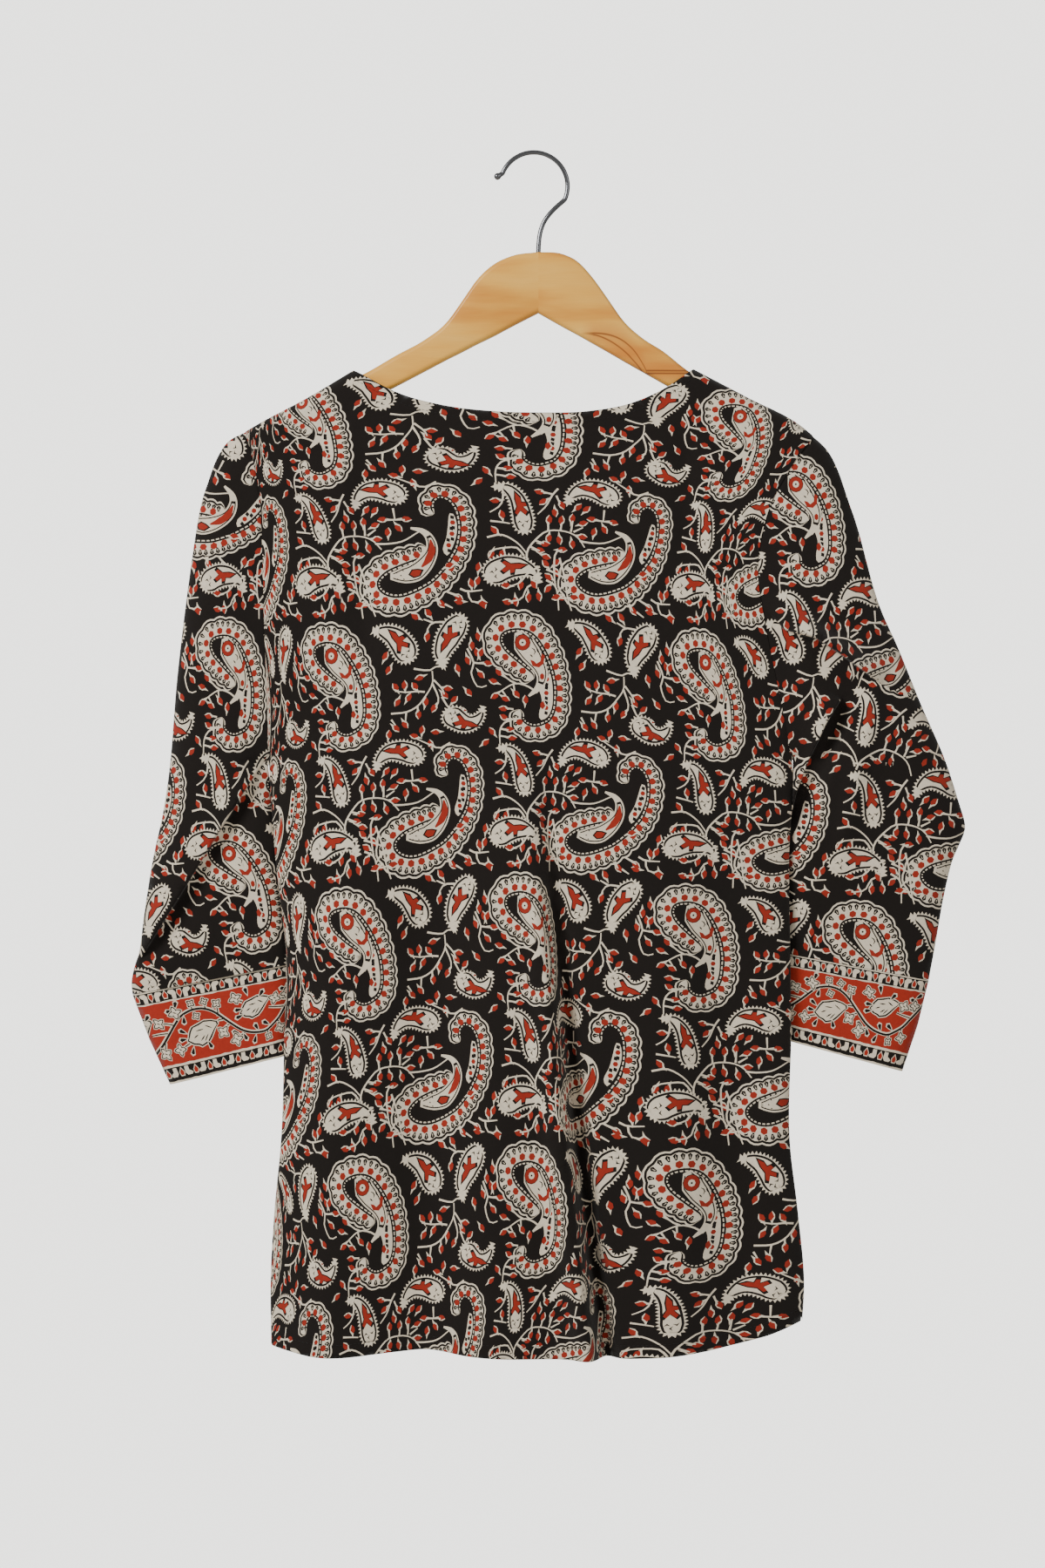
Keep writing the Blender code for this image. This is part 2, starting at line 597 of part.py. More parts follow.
def add_hook():
    route, thickness = hook_route()
    line = bpy.data.curves.new("hook", "CURVE")
    line.dimensions = "3D"
    line.bevel_depth = WIRE * MM
    line.bevel_resolution = 2
    line.use_fill_caps = True
    spline = line.splines.new("POLY")
    spline.points.add(len(route) - 1)
    for point, (x, z), share in zip(spline.points, route, thickness):
        point.co = (x * MM, 0, z * MM, 1)
        point.radius = share
    spline.use_smooth = True
    hook = bpy.data.objects.new("hook", line)
    bpy.context.scene.collection.objects.link(hook)
    line.materials.append(finish("hook", STEEL, 0.18, 1.0))


for leftover in list(bpy.data.objects):
    bpy.data.objects.remove(leftover)

add_panel("back", -1, BACK_ROWS, BACK_COLUMNS, BACK_NECK)
add_panel("front", 1, FRONT_ROWS, FRONT_COLUMNS, FRONT_NECK)
add_sleeve("sleeve_left", "left", LEFT_SLEEVE, NO_FOLDS, PRINT)
add_sleeve("sleeve_right", "right", RIGHT_SLEEVE, RIGHT_SLEEVE_FOLDS, PRINT)
add_sleeve("cuff_band_left", "left", LEFT_BAND, NO_FOLDS, BAND_RED)
add_sleeve("cuff_band_right", "right", RIGHT_BAND, NO_FOLDS, BAND_RED)
add_bore()
add_arm("hanger_left", LEFT_ARM, -1)
add_arm("hanger_right", RIGHT_ARM, 1)
add_hook()
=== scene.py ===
"""A block-printed cotton kurta on its wooden hanger, made piece by piece as the tailor would: the hanger
first, then the printing blocks, the two body panels, the sleeves, the border bands and the stitching.
Millimetres in the tables, metres in the meshes."""

import bmesh
import bpy
import numpy as np
from mathutils.geometry import delaunay_2d_cdt
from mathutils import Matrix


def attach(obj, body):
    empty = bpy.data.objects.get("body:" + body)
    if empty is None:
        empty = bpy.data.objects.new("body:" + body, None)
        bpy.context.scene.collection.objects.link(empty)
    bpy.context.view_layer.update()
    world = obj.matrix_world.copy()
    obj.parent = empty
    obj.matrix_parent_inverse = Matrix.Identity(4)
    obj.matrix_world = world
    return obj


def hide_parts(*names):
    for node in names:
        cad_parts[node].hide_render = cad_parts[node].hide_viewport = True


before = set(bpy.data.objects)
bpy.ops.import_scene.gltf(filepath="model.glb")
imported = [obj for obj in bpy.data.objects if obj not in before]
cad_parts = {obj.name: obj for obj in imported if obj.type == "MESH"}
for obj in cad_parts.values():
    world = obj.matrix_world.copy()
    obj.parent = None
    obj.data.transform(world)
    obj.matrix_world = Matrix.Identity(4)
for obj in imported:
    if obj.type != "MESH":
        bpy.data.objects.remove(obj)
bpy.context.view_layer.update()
MM = 0.001

# ---------------------------------------------------------------- the room: camera, floor and light
# A garment hangs in a pale room, lit by two broad soft lamps, one from each upper side, as a shop lights
# its rail. The floor lies well below the hem.

CAMERA_AT = (-0.0087, -3.2, -0.484)
FRAME_HEIGHT = 1.206  # metres of the hanging garment that fill the upright frame
SENSOR = 36.0


def linear(code):
    """An sRGB hex colour as linear values."""
    values = np.array([int(code[i : i + 2], 16) / 255 for i in (1, 3, 5)])
    values = np.where(values <= 0.04045, values / 12.92, ((values + 0.055) / 1.055) ** 2.4)
    return (*values, 1.0)


def new_material(name):
    made = bpy.data.materials.new(name)
    made.use_nodes = True
    made.node_tree.nodes.clear()
    return made, made.node_tree


def add(tree, kind, values=None, links=None, **settings):
    """Adds a node with its settings, the values of its inputs and its links."""
    made = tree.nodes.new(kind)
    for name, value in settings.items():
        setattr(made, name, value)
    for socket, value in (values or {}).items():
        made.inputs[socket].default_value = value
    for socket, source in (links or {}).items():
        tree.links.new(source, made.inputs[socket])
    return made


lens = bpy.data.cameras.new("camera")
lens.sensor_fit = "VERTICAL"
lens.sensor_height = SENSOR
lens.lens = SENSOR * -CAMERA_AT[1] / FRAME_HEIGHT
camera = bpy.data.objects.new("camera", lens)
camera.location = CAMERA_AT
camera.rotation_euler = (np.pi / 2, 0, 0)
bpy.context.scene.collection.objects.link(camera)
bpy.context.scene.camera = camera

world = bpy.data.worlds.new("pale room")
world.use_nodes = True
wall_light = world.node_tree.nodes["Background"]
wall_light.inputs["Color"].default_value = linear("#f1f0ec")
wall_light.inputs["Strength"].default_value = 0.5
seen_wall = add(world.node_tree, "ShaderNodeBackground", {"Color": linear("#f1f0ec"), "Strength": 2.95})
rays = add(world.node_tree, "ShaderNodeLightPath")
both = add(world.node_tree, "ShaderNodeMixShader", links={0: rays.outputs["Is Camera Ray"],
                                                         1: wall_light.outputs[0], 2: seen_wall.outputs[0]})
world.node_tree.links.new(both.outputs[0], world.node_tree.nodes["World Output"].inputs["Surface"])
bpy.context.scene.world = world

for name, at, size, power, turn in (
    ("lamp upper left", (-1.9, -1.9, 0.9), 1.2, 75, (56, 0, -46)),
    ("lamp upper right", (1.9, -2.0, 0.4), 1.8, 12, (68, 0, 44)),
):
    lamp = bpy.data.lights.new(name, "AREA")
    lamp.size = size
    lamp.energy = power
    lamp_object = bpy.data.objects.new(name, lamp)
    lamp_object.location = at
    lamp_object.rotation_euler = np.radians(turn)
    bpy.context.scene.collection.objects.link(lamp_object)

floor_mesh = bpy.data.meshes.new("floor")
shape = bmesh.new()
bmesh.ops.create_circle(shape, cap_ends=True, segments=64, radius=3.0)
bmesh.ops.translate(shape, verts=shape.verts, vec=(0, 0, -1.75))
shape.to_mesh(floor_mesh)
shape.free()
floor = bpy.data.objects.new("floor", floor_mesh)
bpy.context.scene.collection.objects.link(floor)
matt_paint, tree = new_material("matt floor paint")
paint = add(tree, "ShaderNodeBsdfPrincipled", {"Base Color": linear("#d9d7d2"), "Roughness": 0.8})
add(tree, "ShaderNodeOutputMaterial", links={"Surface": paint.outputs["BSDF"]})
floor_mesh.materials.append(matt_paint)

# ---------------------------------------------------------------- the hook
# Polished plated steel wire, 3.6 mm thick, bent on a former. Its tip is pressed into a small ball, and its
# shank is screwed into the top of the hanger.

WIRE = 1.8
HOOK_RADIUS = 26.0
HOOK_ARC = (-24.0, 158.0)
SHANK = [[3.5, -92.5], [3.5, -84.0], [3.5, -75.0]]
HOOK_BEND = [[3.9, -66.0], [5.2, -58.0], [8.0, -51.0], [12.5, -45.0], [18.0, -39.5]]
TIP_WAY = np.array([-0.86, -0.51])
#                     out  thickness
HOOK_TIP = np.array([[1.2, 1.00], [2.0, 1.02], [2.6, 1.15], [3.1, 1.32], [3.8, 1.46], [4.6, 1.50],
                     [5.4, 1.42], [6.1, 1.20], [6.6, 0.90], [6.95, 0.45]])


def place(name, mesh):
    piece = bpy.data.objects.new(name, mesh)
    bpy.context.scene.collection.objects.link(piece)
    return piece


turns = np.radians(np.linspace(*HOOK_ARC, 48))
arc = HOOK_RADIUS * np.stack([np.cos(turns), np.sin(turns)], axis=1) + (0, WIRE - HOOK_RADIUS)
tip = arc[-1] + HOOK_TIP[:, :1] * TIP_WAY
route = np.concatenate([SHANK, HOOK_BEND, arc, tip])
line = bpy.data.curves.new("hook_wire_line", "CURVE")
line.dimensions = "3D"
line.bevel_depth = WIRE * MM
line.bevel_resolution = 6
line.use_fill_caps = True
line.resolution_u = 4
spline = line.splines.new("NURBS")
spline.points.add(len(route) - 1)
for point, (x, z) in zip(spline.points, route):
    point.co = (x * MM, 0, z * MM, 1)
for point, share in zip(spline.points[-len(tip) :], HOOK_TIP[:, 1]):
    point.radius = share
spline.order_u = 3
spline.use_endpoint_u = True
guide = place("hook_guide", line)
bpy.context.view_layer.update()
mesh = bpy.data.meshes.new_from_object(guide.evaluated_get(bpy.context.evaluated_depsgraph_get()))
bpy.data.objects.remove(guide)
mesh.shade_smooth()
hook = place("hook_wire", mesh)

# Bright nickel plate: a mirror that is slightly brushed by use.
plate, tree = new_material("polished nickel plate")
where = add(tree, "ShaderNodeTexCoord")
rub = add(tree, "ShaderNodeTexNoise", {"Scale": 900.0, "Detail": 3.0},
          {"Vector": where.outputs["Object"]})
dull = add(tree, "ShaderNodeMapRange", {"To Min": 0.10, "To Max": 0.24}, {"Value": rub.outputs["Fac"]})
nick = add(tree, "ShaderNodeBump", {"Strength": 0.15, "Distance": 0.00005},
           {"Height": rub.outputs["Fac"]})
plated = add(tree, "ShaderNodeBsdfPrincipled", {"Base Color": linear("#747578"), "Metallic": 1.0},
             {"Roughness": dull.outputs["Result"], "Normal": nick.outputs["Normal"]})
add(tree, "ShaderNodeOutputMaterial", links={"Surface": plated.outputs["BSDF"]})
mesh.materials.clear()
mesh.materials.append(plate)
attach(hook, "root")
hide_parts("hook")

# ---------------------------------------------------------------- the hanger
# Two arms sawn from pale board, with rounded edges, glued at the middle and clear varnished. The boards
# come from different trees' sides, so the figure of the grain changes at the joint.

HANGER_EDGE = 4.5
#                      x      top   bottom  half
LEFT_ARM = np.array([[3.5, -75.0, -122.0, 6.0], [-17.0, -78.0, -132.5, 6.0], [-33.0, -86.0, -141.0, 6.0],
                     [-43.5, -96.0, -146.0, 6.0], [-54.0, -111.0, -151.5, 6.0],
                     [-67.0, -129.0, -158.0, 6.0], [-84.0, -142.5, -167.0, 6.0],
                     [-105.0, -154.0, -178.0, 6.0], [-131.0, -168.9, -191.5, 6.0],
                     [-150.0, -177.5, -201.0, 6.0], [-176.0, -192.5, -214.0, 6.0],
                     [-203.0, -208.5, -227.0, 5.8], [-211.0, -213.5, -227.5, 5.2],
                     [-215.0, -217.5, -225.0, 3.6]])
RIGHT_ARM = np.array([[3.5, -75.0, -122.0, 6.0], [22.0, -76.5, -132.5, 6.0], [34.0, -82.5, -139.0, 6.0],
                      [45.5, -95.0, -145.5, 6.0], [57.0, -111.0, -152.0, 6.0], [69.0, -128.0, -159.0, 6.0],
                      [84.0, -141.5, -167.5, 6.0], [99.0, -151.0, -176.0, 6.0],
                      [118.5, -166.3, -187.0, 6.0], [140.0, -178.5, -199.0, 6.0],
                      [165.0, -192.0, -212.5, 6.0], [196.0, -209.5, -228.0, 5.8],
                      [207.0, -216.0, -229.5, 5.2], [211.5, -220.0, -227.0, 3.6]])


def smooth(at, known, values):
    """A cubic through a table's points; known rises, and past its ends the value stays level."""
    at = np.clip(at, known[0], known[-1])
    slope = np.gradient(values, known)
    i = np.clip(np.searchsorted(known, at) - 1, 0, len(known) - 2)
    span = known[i + 1] - known[i]
    t = (at - known[i]) / span
    start = (1 + 2 * t) * (1 - t) ** 2 * values[i] + t * (1 - t) ** 2 * span * slope[i]
    end = t * t * (3 - 2 * t) * values[i + 1] + t * t * (t - 1) * span * slope[i + 1]
    return start + end


def arm_mesh(name, sections, way):
    """Rounded sections along an arm, flat at the joint and closed at the tip."""
    reach = 1 - (1 - np.linspace(0, 1, 61)) ** 1.15  # sections lie closer towards the tip
    x = sections[0, 0] + reach * (sections[-1, 0] - sections[0, 0])
    known = sections[:, 0] * way
    top, bottom, half = (smooth(x * way, known, sections[:, i]) for i in (1, 2, 3))
    points, faces = [], []
    angles = np.radians(np.arange(0, 91, 18))
    for at, high, low, deep in zip(x, top, bottom, half):
        edge = min(HANGER_EDGE, deep * 0.95, (high - low) * 0.45)
        for side, up, start in ((1, 1, 0), (-1, 1, 90), (-1, -1, 180), (1, -1, 270)):
            middle = (side * (deep - edge), high - edge if up > 0 else low + edge)
            for a in angles + np.radians(start):
                points.append((at, middle[0] + edge * np.cos(a), middle[1] + edge * np.sin(a)))
    around = 4 * len(angles)
    for r in range(len(x) - 1):
        for c in range(around):
            d = (c + 1) % around
            faces.append([r * around + c, r * around + d, (r + 1) * around + d, (r + 1) * around + c])
    faces.append(list(range(around)))
    faces.append([(len(x) - 1) * around + c for c in range(around)])
    mesh = bpy.data.meshes.new(name)
    mesh.from_pydata((np.array(points) * MM).tolist(), [], faces)
    built = bmesh.new()
    built.from_mesh(mesh)
    bmesh.ops.recalc_face_normals(built, faces=built.faces)
    built.to_mesh(mesh)
    built.free()
    mesh.shade_smooth()
    mesh.set_sharp_from_angle(angle=np.radians(50))
    return mesh


# Two dark streaks of grain run round a knot low in the right board: start, end and bend, in metres.
STREAKS = ((0.0401, 0.0463, -0.1375, -0.0295, 3.2), (0.0401, 0.0445, -0.1380, -0.0310, 1.9))


def varnished_board(name, tilt, dark, knotty):
    """Honey-coloured hardwood under clear satin varnish: long soft figure along the arm and fine pores."""
    wood, tree = new_material(name)
    where = add(tree, "ShaderNodeTexCoord")
    along = add(tree, "ShaderNodeMapping", {"Rotation": (0, tilt, 0), "Scale": (1, 3, 6)},
                {"Vector": where.outputs["Object"]})
    sway = add(tree, "ShaderNodeTexNoise", {"Scale": 7.0, "Detail": 3.0, "Roughness": 0.55},
               {"Vector": along.outputs["Vector"]})
    figure = add(tree, "ShaderNodeValToRGB", links={"Fac": sway.outputs["Fac"]})
    ramp = figure.color_ramp
    ramp.elements[0].position, ramp.elements[0].color = 0.30, linear(dark)
    ramp.elements[1].position, ramp.elements[1].color = 0.72, linear("#ffc55c")
    middle = ramp.elements.new(0.5)
    middle.color = linear("#f8b547")
    fine = add(tree, "ShaderNodeMapping", {"Rotation": (0, tilt, 0), "Scale": (1, 12, 22)},
               {"Vector": where.outputs["Object"]})
    pores = add(tree, "ShaderNodeTexNoise", {"Scale": 60.0, "Detail": 4.0, "Roughness": 0.65},
                {"Vector": fine.outputs["Vector"]})
    tone = add(tree, "ShaderNodeMapRange", {"To Min": 0.92, "To Max": 1.1}, {"Value": pores.outputs["Fac"]})
    shade = add(tree, "ShaderNodeMix", {"Factor": 1.0},
                {"A": figure.outputs["Color"], "B": tone.outputs["Result"]}, data_type="RGBA",
                blend_type="MULTIPLY")
    colour = shade.outputs["Result"]
    if knotty:
        part = add(tree, "ShaderNodeSeparateXYZ", links={"Vector": where.outputs["Object"]})
        wander = add(tree, "ShaderNodeMapRange", {"To Min": -0.0012, "To Max": 0.0012},
                     {"Value": sway.outputs["Fac"]})
        height = add(tree, "ShaderNodeMath", links={0: part.outputs["Z"], 1: wander.outputs["Result"]},
                     operation="ADD")
        gaps = []
        for start, length, level, fall, bend in STREAKS:
            share = add(tree, "ShaderNodeMapRange", {"From Min": start, "From Max": start + length},
                        {"Value": part.outputs["X"]})
            bent = add(tree, "ShaderNodeMath", {1: bend}, {0: share.outputs["Result"]}, operation="POWER")
            line = add(tree, "ShaderNodeMath", {1: fall, 2: level}, {0: bent.outputs[0]},
                       operation="MULTIPLY_ADD")
            apart = add(tree, "ShaderNodeMath", links={0: height.outputs[0], 1: line.outputs[0]},
                        operation="SUBTRACT")
            gaps.append(add(tree, "ShaderNodeMath", links={0: apart.outputs[0]}, operation="ABSOLUTE"))
        nearest = add(tree, "ShaderNodeMath", links={0: gaps[0].outputs[0], 1: gaps[1].outputs[0]},
                      operation="MINIMUM")
        begun = add(tree, "ShaderNodeMapRange", {"From Min": 0.036, "From Max": 0.046},
                    {"Value": part.outputs["X"]})
        for reach, strength, tint in ((0.011, 0.75, "#dd8730"), (0.0011, 0.95, "#7d3d12")):
            near = add(tree, "ShaderNodeMapRange",
                       {"From Min": reach, "From Max": 0.0, "To Max": strength},
                       {"Value": nearest.outputs[0]})
            there = add(tree, "ShaderNodeMath",
                        links={0: near.outputs["Result"], 1: begun.outputs["Result"]},
                        operation="MULTIPLY")
            tinted = add(tree, "ShaderNodeMix", {"B": linear(tint)},
                         {"Factor": there.outputs[0], "A": colour}, data_type="RGBA")
            colour = tinted.outputs["Result"]
    relief_of_pores = add(tree, "ShaderNodeBump", {"Strength": 0.12, "Distance": 0.0002},
                          {"Height": pores.outputs["Fac"]})
    gloss = add(tree, "ShaderNodeMapRange", {"To Min": 0.28, "To Max": 0.42},
                {"Value": sway.outputs["Fac"]})
    board = add(tree, "ShaderNodeBsdfPrincipled", {"IOR": 1.5, "Coat Weight": 0.12, "Coat Roughness": 0.2},
                {"Base Color": colour, "Roughness": gloss.outputs["Result"],
                 "Normal": relief_of_pores.outputs["Normal"]})
    add(tree, "ShaderNodeOutputMaterial", links={"Surface": board.outputs["BSDF"]})
    return wood


for side, sections, way, tilt, dark in (("left", LEFT_ARM, -1, 0.5, "#e39632"),
                                        ("right", RIGHT_ARM, 1, -0.55, "#df8c2c")):
    arm = place("hanger_arm_" + side, arm_mesh("hanger_arm_" + side, sections, way))
    arm.data.materials.append(varnished_board("varnished hardwood, " + side + " board", tilt, dark,
                                              side == "right"))
    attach(arm, "root")
    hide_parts("hanger_" + side)

# ---------------------------------------------------------------- the printing blocks
# The cloth is printed by hand from carved wooden blocks: black ground, then madder red, and the bare ecru
# cotton shows as the figures. The block below is the paisley repeat, drawn as ink shapes in millimetres,
# u across and v down, from the middle of its larger paisley. Ink 0 is the black ground, 1 the bare cotton
# and 2 the red.

REPEAT = np.array([150.0, 204.0])
NEIGHBOURS = np.array([(i, j) for i in (-1, 0, 1) for j in (-1, 0, 1)]) * REPEAT
BLACK, ECRU, RED = 0, 1, 2


def even(line, step, closed=False):
    """The same line with even steps of about this length."""
    if closed:
        line = np.vstack([line, line[:1]])
    run = np.r_[0, np.cumsum(np.hypot(*np.diff(line, axis=0).T))]
    count = max(2, int(round(run[-1] / step)))
    at = np.linspace(0, run[-1], count + 1)
    made = np.stack([np.interp(at, run, line[:, 0]), np.interp(at, run, line[:, 1])], axis=1)
    return made[:-1] if closed else made


def curve(points, step=2.0, closed=False):
    """A smooth line through the points."""
    p = np.array(points, float)
    if closed:
        p = np.vstack([p[-1], p, p[:2]])
    else:
        p = np.vstack([2 * p[0] - p[1], p, 2 * p[-1] - p[-2]])
    t = np.linspace(0, 1, 9)[:-1][:, None]
    line = []
    for a, b, c, d in zip(p[:-3], p[1:-2], p[2:-1], p[3:]):
        line.append(b + 0.5 * (c - a) * t + (a - 2.5 * b + 2 * c - 0.5 * d) * t**2
                    + 0.5 * (3 * b - a - 3 * c + d) * t**3)
    line = np.concatenate(line if closed else line + [p[-2:-1]])
    return even(line, step, closed)


def beside(line, away, closed=False):
    """The line moved sideways; positive is to the left of its run, with v down."""
    if closed:
        run = np.roll(line, -1, axis=0) - np.roll(line, 1, axis=0)
    else:
        run = np.gradient(line, axis=0)
    run = run / np.maximum(np.hypot(run[:, 0], run[:, 1]), 1e-6)[:, None]
    return line + np.stack([run[:, 1], -run[:, 0]], axis=1) * np.broadcast_to(away, len(line))[:, None]


def ribbon(line, left, right=None):
    """The outline of a band along a line, with these widths to its left and right."""
    right = left if right is None else right
    return np.concatenate([beside(line, left), beside(line, -np.asarray(right, float))[::-1]])


def spread(widths, line):
    """Widths along a line, from a few evenly spaced ones."""
    return np.interp(np.linspace(0, 1, len(line)), np.linspace(0, 1, len(widths)), widths)


def turned(shape, degrees, at):
    c, s = np.cos(np.radians(degrees)), np.sin(np.radians(degrees))
    return np.asarray(shape) @ np.array([[c, s], [-s, c]]) + at


def round_shape(at, radius, corners=8, stretch=1.0, degrees=0):
    turn = np.arange(corners) * 2 * np.pi / corners
    return turned(np.stack([radius * stretch * np.cos(turn), radius * np.sin(turn)], axis=1), degrees, at)


def inside(shape, at):
    """Which of the points lie inside the closed shape, by how often it winds round them."""
    start, end = shape[:, None, :], np.roll(shape, -1, axis=0)[:, None, :]
    found = []
    for part in np.array_split(at, 1 + len(at) * len(shape) // 1000000):
        left_of = (end[..., 0] - start[..., 0]) * (part[:, 1] - start[..., 1]) > (
            end[..., 1] - start[..., 1]) * (part[:, 0] - start[..., 0])
        rises = (start[..., 1] <= part[:, 1]) & (end[..., 1] > part[:, 1]) & left_of
        falls = (start[..., 1] > part[:, 1]) & (end[..., 1] <= part[:, 1]) & ~left_of
        found.append(rises.sum(axis=0) != falls.sum(axis=0))
    return np.concatenate(found)


# A bud on its stalk: pointed at its outer end, the red printed to one side so that ecru shows beside it.
BUD = np.array([[-7.0, 0.0], [-3.4, -0.7], [-1.5, -1.9], [1.3, -1.8], [3.9, 0.1], [1.2, 1.7], [-2.0, 1.6]])
BUD_RED = np.array([[-3.4, 0.7], [-0.4, -1.4], [3.8, 0.5], [1.3, 2.6], [-1.7, 2.6]])
LOOP = np.array([[2.4, 0], [0.9, 1.8], [-2.4, 0.6], [-2.4, -0.6], [0.9, -1.8]])


class Block:
    """Ink shapes in the order they're laid."""

    def __init__(self):
        self.inks = []
        self.shapes = []

    def ink(self, ink, shape):
        self.inks.append(ink)
        self.shapes.append(np.asarray(shape, float))

    def bud(self, at, degrees, way=1):
        self.ink(ECRU, turned(BUD * (1, way), degrees, at))
        self.ink(RED, turned(BUD_RED * (1, way), degrees, at))

    def stem(self, points, width=0.75):
        line = curve(points, 4.0)
        self.ink(ECRU, ribbon(line, spread([width, width * 0.8, width * 0.6], line)))

    def stroke(self, points, width):
        """A short black line, thick in the middle."""
        line = curve(points, 2.2)
        self.ink(BLACK, ribbon(line, width * spread([0.3, 1, 0.3], line)))

    def beads(self, line, pitch, size):
        for i, at in enumerate(even(line, pitch)[1:-1]):
            self.ink(RED, round_shape(at, size, 6, 1.1, 25 * i))


paisley_block = Block()


def scalloped_figure(block, line_points, outer, inner, pitch):
    """A paisley's broad band: scalloped and lined outside, with looped strokes, beads and fine notches."""
    line = curve(line_points, pitch / 4)
    run = pitch / 4 * np.arange(len(line))
    wide = spread(outer, line) + 1.5 * np.abs(np.sin(np.pi * run / pitch))
    narrow = spread(inner, line)
    ends = np.sqrt(1 - np.clip(1 - run / 6, 0, 1) ** 2) * np.sqrt(1 - np.clip(1 - run[::-1] / 6, 0, 1) ** 2)
    for out, back, ink in ((0.9, 0.7, ECRU), (-0.4, -0.3, BLACK), (-2.1, -1.7, ECRU)):
        block.ink(ink, ribbon(line, np.maximum((wide + out) * ends, 0.4 + out / 3),
                              np.maximum((narrow + back) * ends, 0.4 + out / 3)))
    for k in range(3, len(line) - 3, 2):
        run_way = np.degrees(np.arctan2(*(line[k + 1] - line[k - 1])[::-1]))
        at = beside(line, wide - 4.6)[k]
        block.ink(BLACK, turned(LOOP, run_way - 90, at))
        block.ink(ECRU, turned(LOOP[[0, 2, 3]] * 0.55, run_way - 90, at))
        at = beside(line, -narrow + 1.0)[k]
        block.ink(BLACK, turned([[-2.2, -0.9], [1.4, 0], [-2.2, 0.9]], run_way - 90, at))
    block.beads(line[1:-1], pitch, 2.7)


U_LINE = [(2, -3), (-8, -10), (-16, -16), (-24, -23), (-28, -31), (-26.5, -38.5), (-20, -43),
          (-10, -44.5), (-1, -42.5), (6, -37.5), (11.5, -30), (16, -21.5), (19.5, -12), (21.5, -3.5),
          (22.5, 4), (22.5, 13.5), (21.5, 23), (17.5, 32), (12, 36), (5.5, 38.5), (-0.5, 38.5), (-6, 36),
          (-10, 30.5), (-9, 22)]
S_LINE = [(9.5, -28), (6.5, -32.5), (8, -40.5), (15, -45.5), (23.5, -42), (28, -35), (29.8, -27.5),
          (30, -15), (27, -1.5), (22.5, 7), (18, 14), (12, 21), (5, 27.5), (-3, 32), (-11.5, 35.3),
          (-20, 37), (-28.5, 36), (-36, 32), (-40.5, 25.5), (-39.5, 17.5), (-31, 10.5), (-17, 6),
          (-3.5, 2.5), (3, -0.5)]
S_AT = np.array([71.0, 104.0])

# Inside each hook lies a second, narrower strip with beads of its own.
U_STRIP = [(4.5, 2), (7.5, -3), (11.5, -10), (15.5, -5), (17, 6), (16.8, 18), (13.5, 27), (7.5, 30),
           (6.5, 24), (8.5, 16), (7.5, 9)]
S_STRIP = [(84, 104), (87.5, 95), (89.5, 86), (91.5, 76), (94.5, 76.5), (96, 84), (95.2, 92), (92, 101),
           (87, 109)]
for inner, beads in ((U_STRIP, [(12.2, -3), (12, 8), (12, 20)]),
                     (S_STRIP, [(93.2, 83), (91.8, 92), (88.6, 101)])):
    paisley_block.ink(ECRU, curve(inner, 3.0, True))
    for at in beads:
        paisley_block.ink(RED, round_shape(at, 2.0, 6))
        for up in (-4.2, 4.2):
            paisley_block.ink(BLACK, round_shape(np.add(at, (0, up)), 1.7, 4, 1.2, 60))
scalloped_figure(paisley_block, U_LINE, [6, 8.5, 9, 9, 9, 8.5, 8, 7.5, 7.5, 8, 8, 4.5],
                 [4, 4.6, 4.8, 4.6, 4.6, 4.2, 3.6, 3.4, 3.6, 4.2, 4.4, 3.6], 8.4)
scalloped_figure(paisley_block, np.array(S_LINE) + S_AT, [4, 6.5, 7.5, 7, 7, 7.5, 8, 8.5, 8.5, 8.5, 8, 6],
                 [3, 3.2, 3.4, 3.4, 3.4, 4, 4.6, 4.8, 5, 5, 4.6, 4], 8.4)
for at in curve([(5.5, -27), (10.5, -18), (13.8, -10), (15.5, -3)], 3.2):
    paisley_block.ink(ECRU, round_shape(at, 0.9, 3, 1.4, 60))

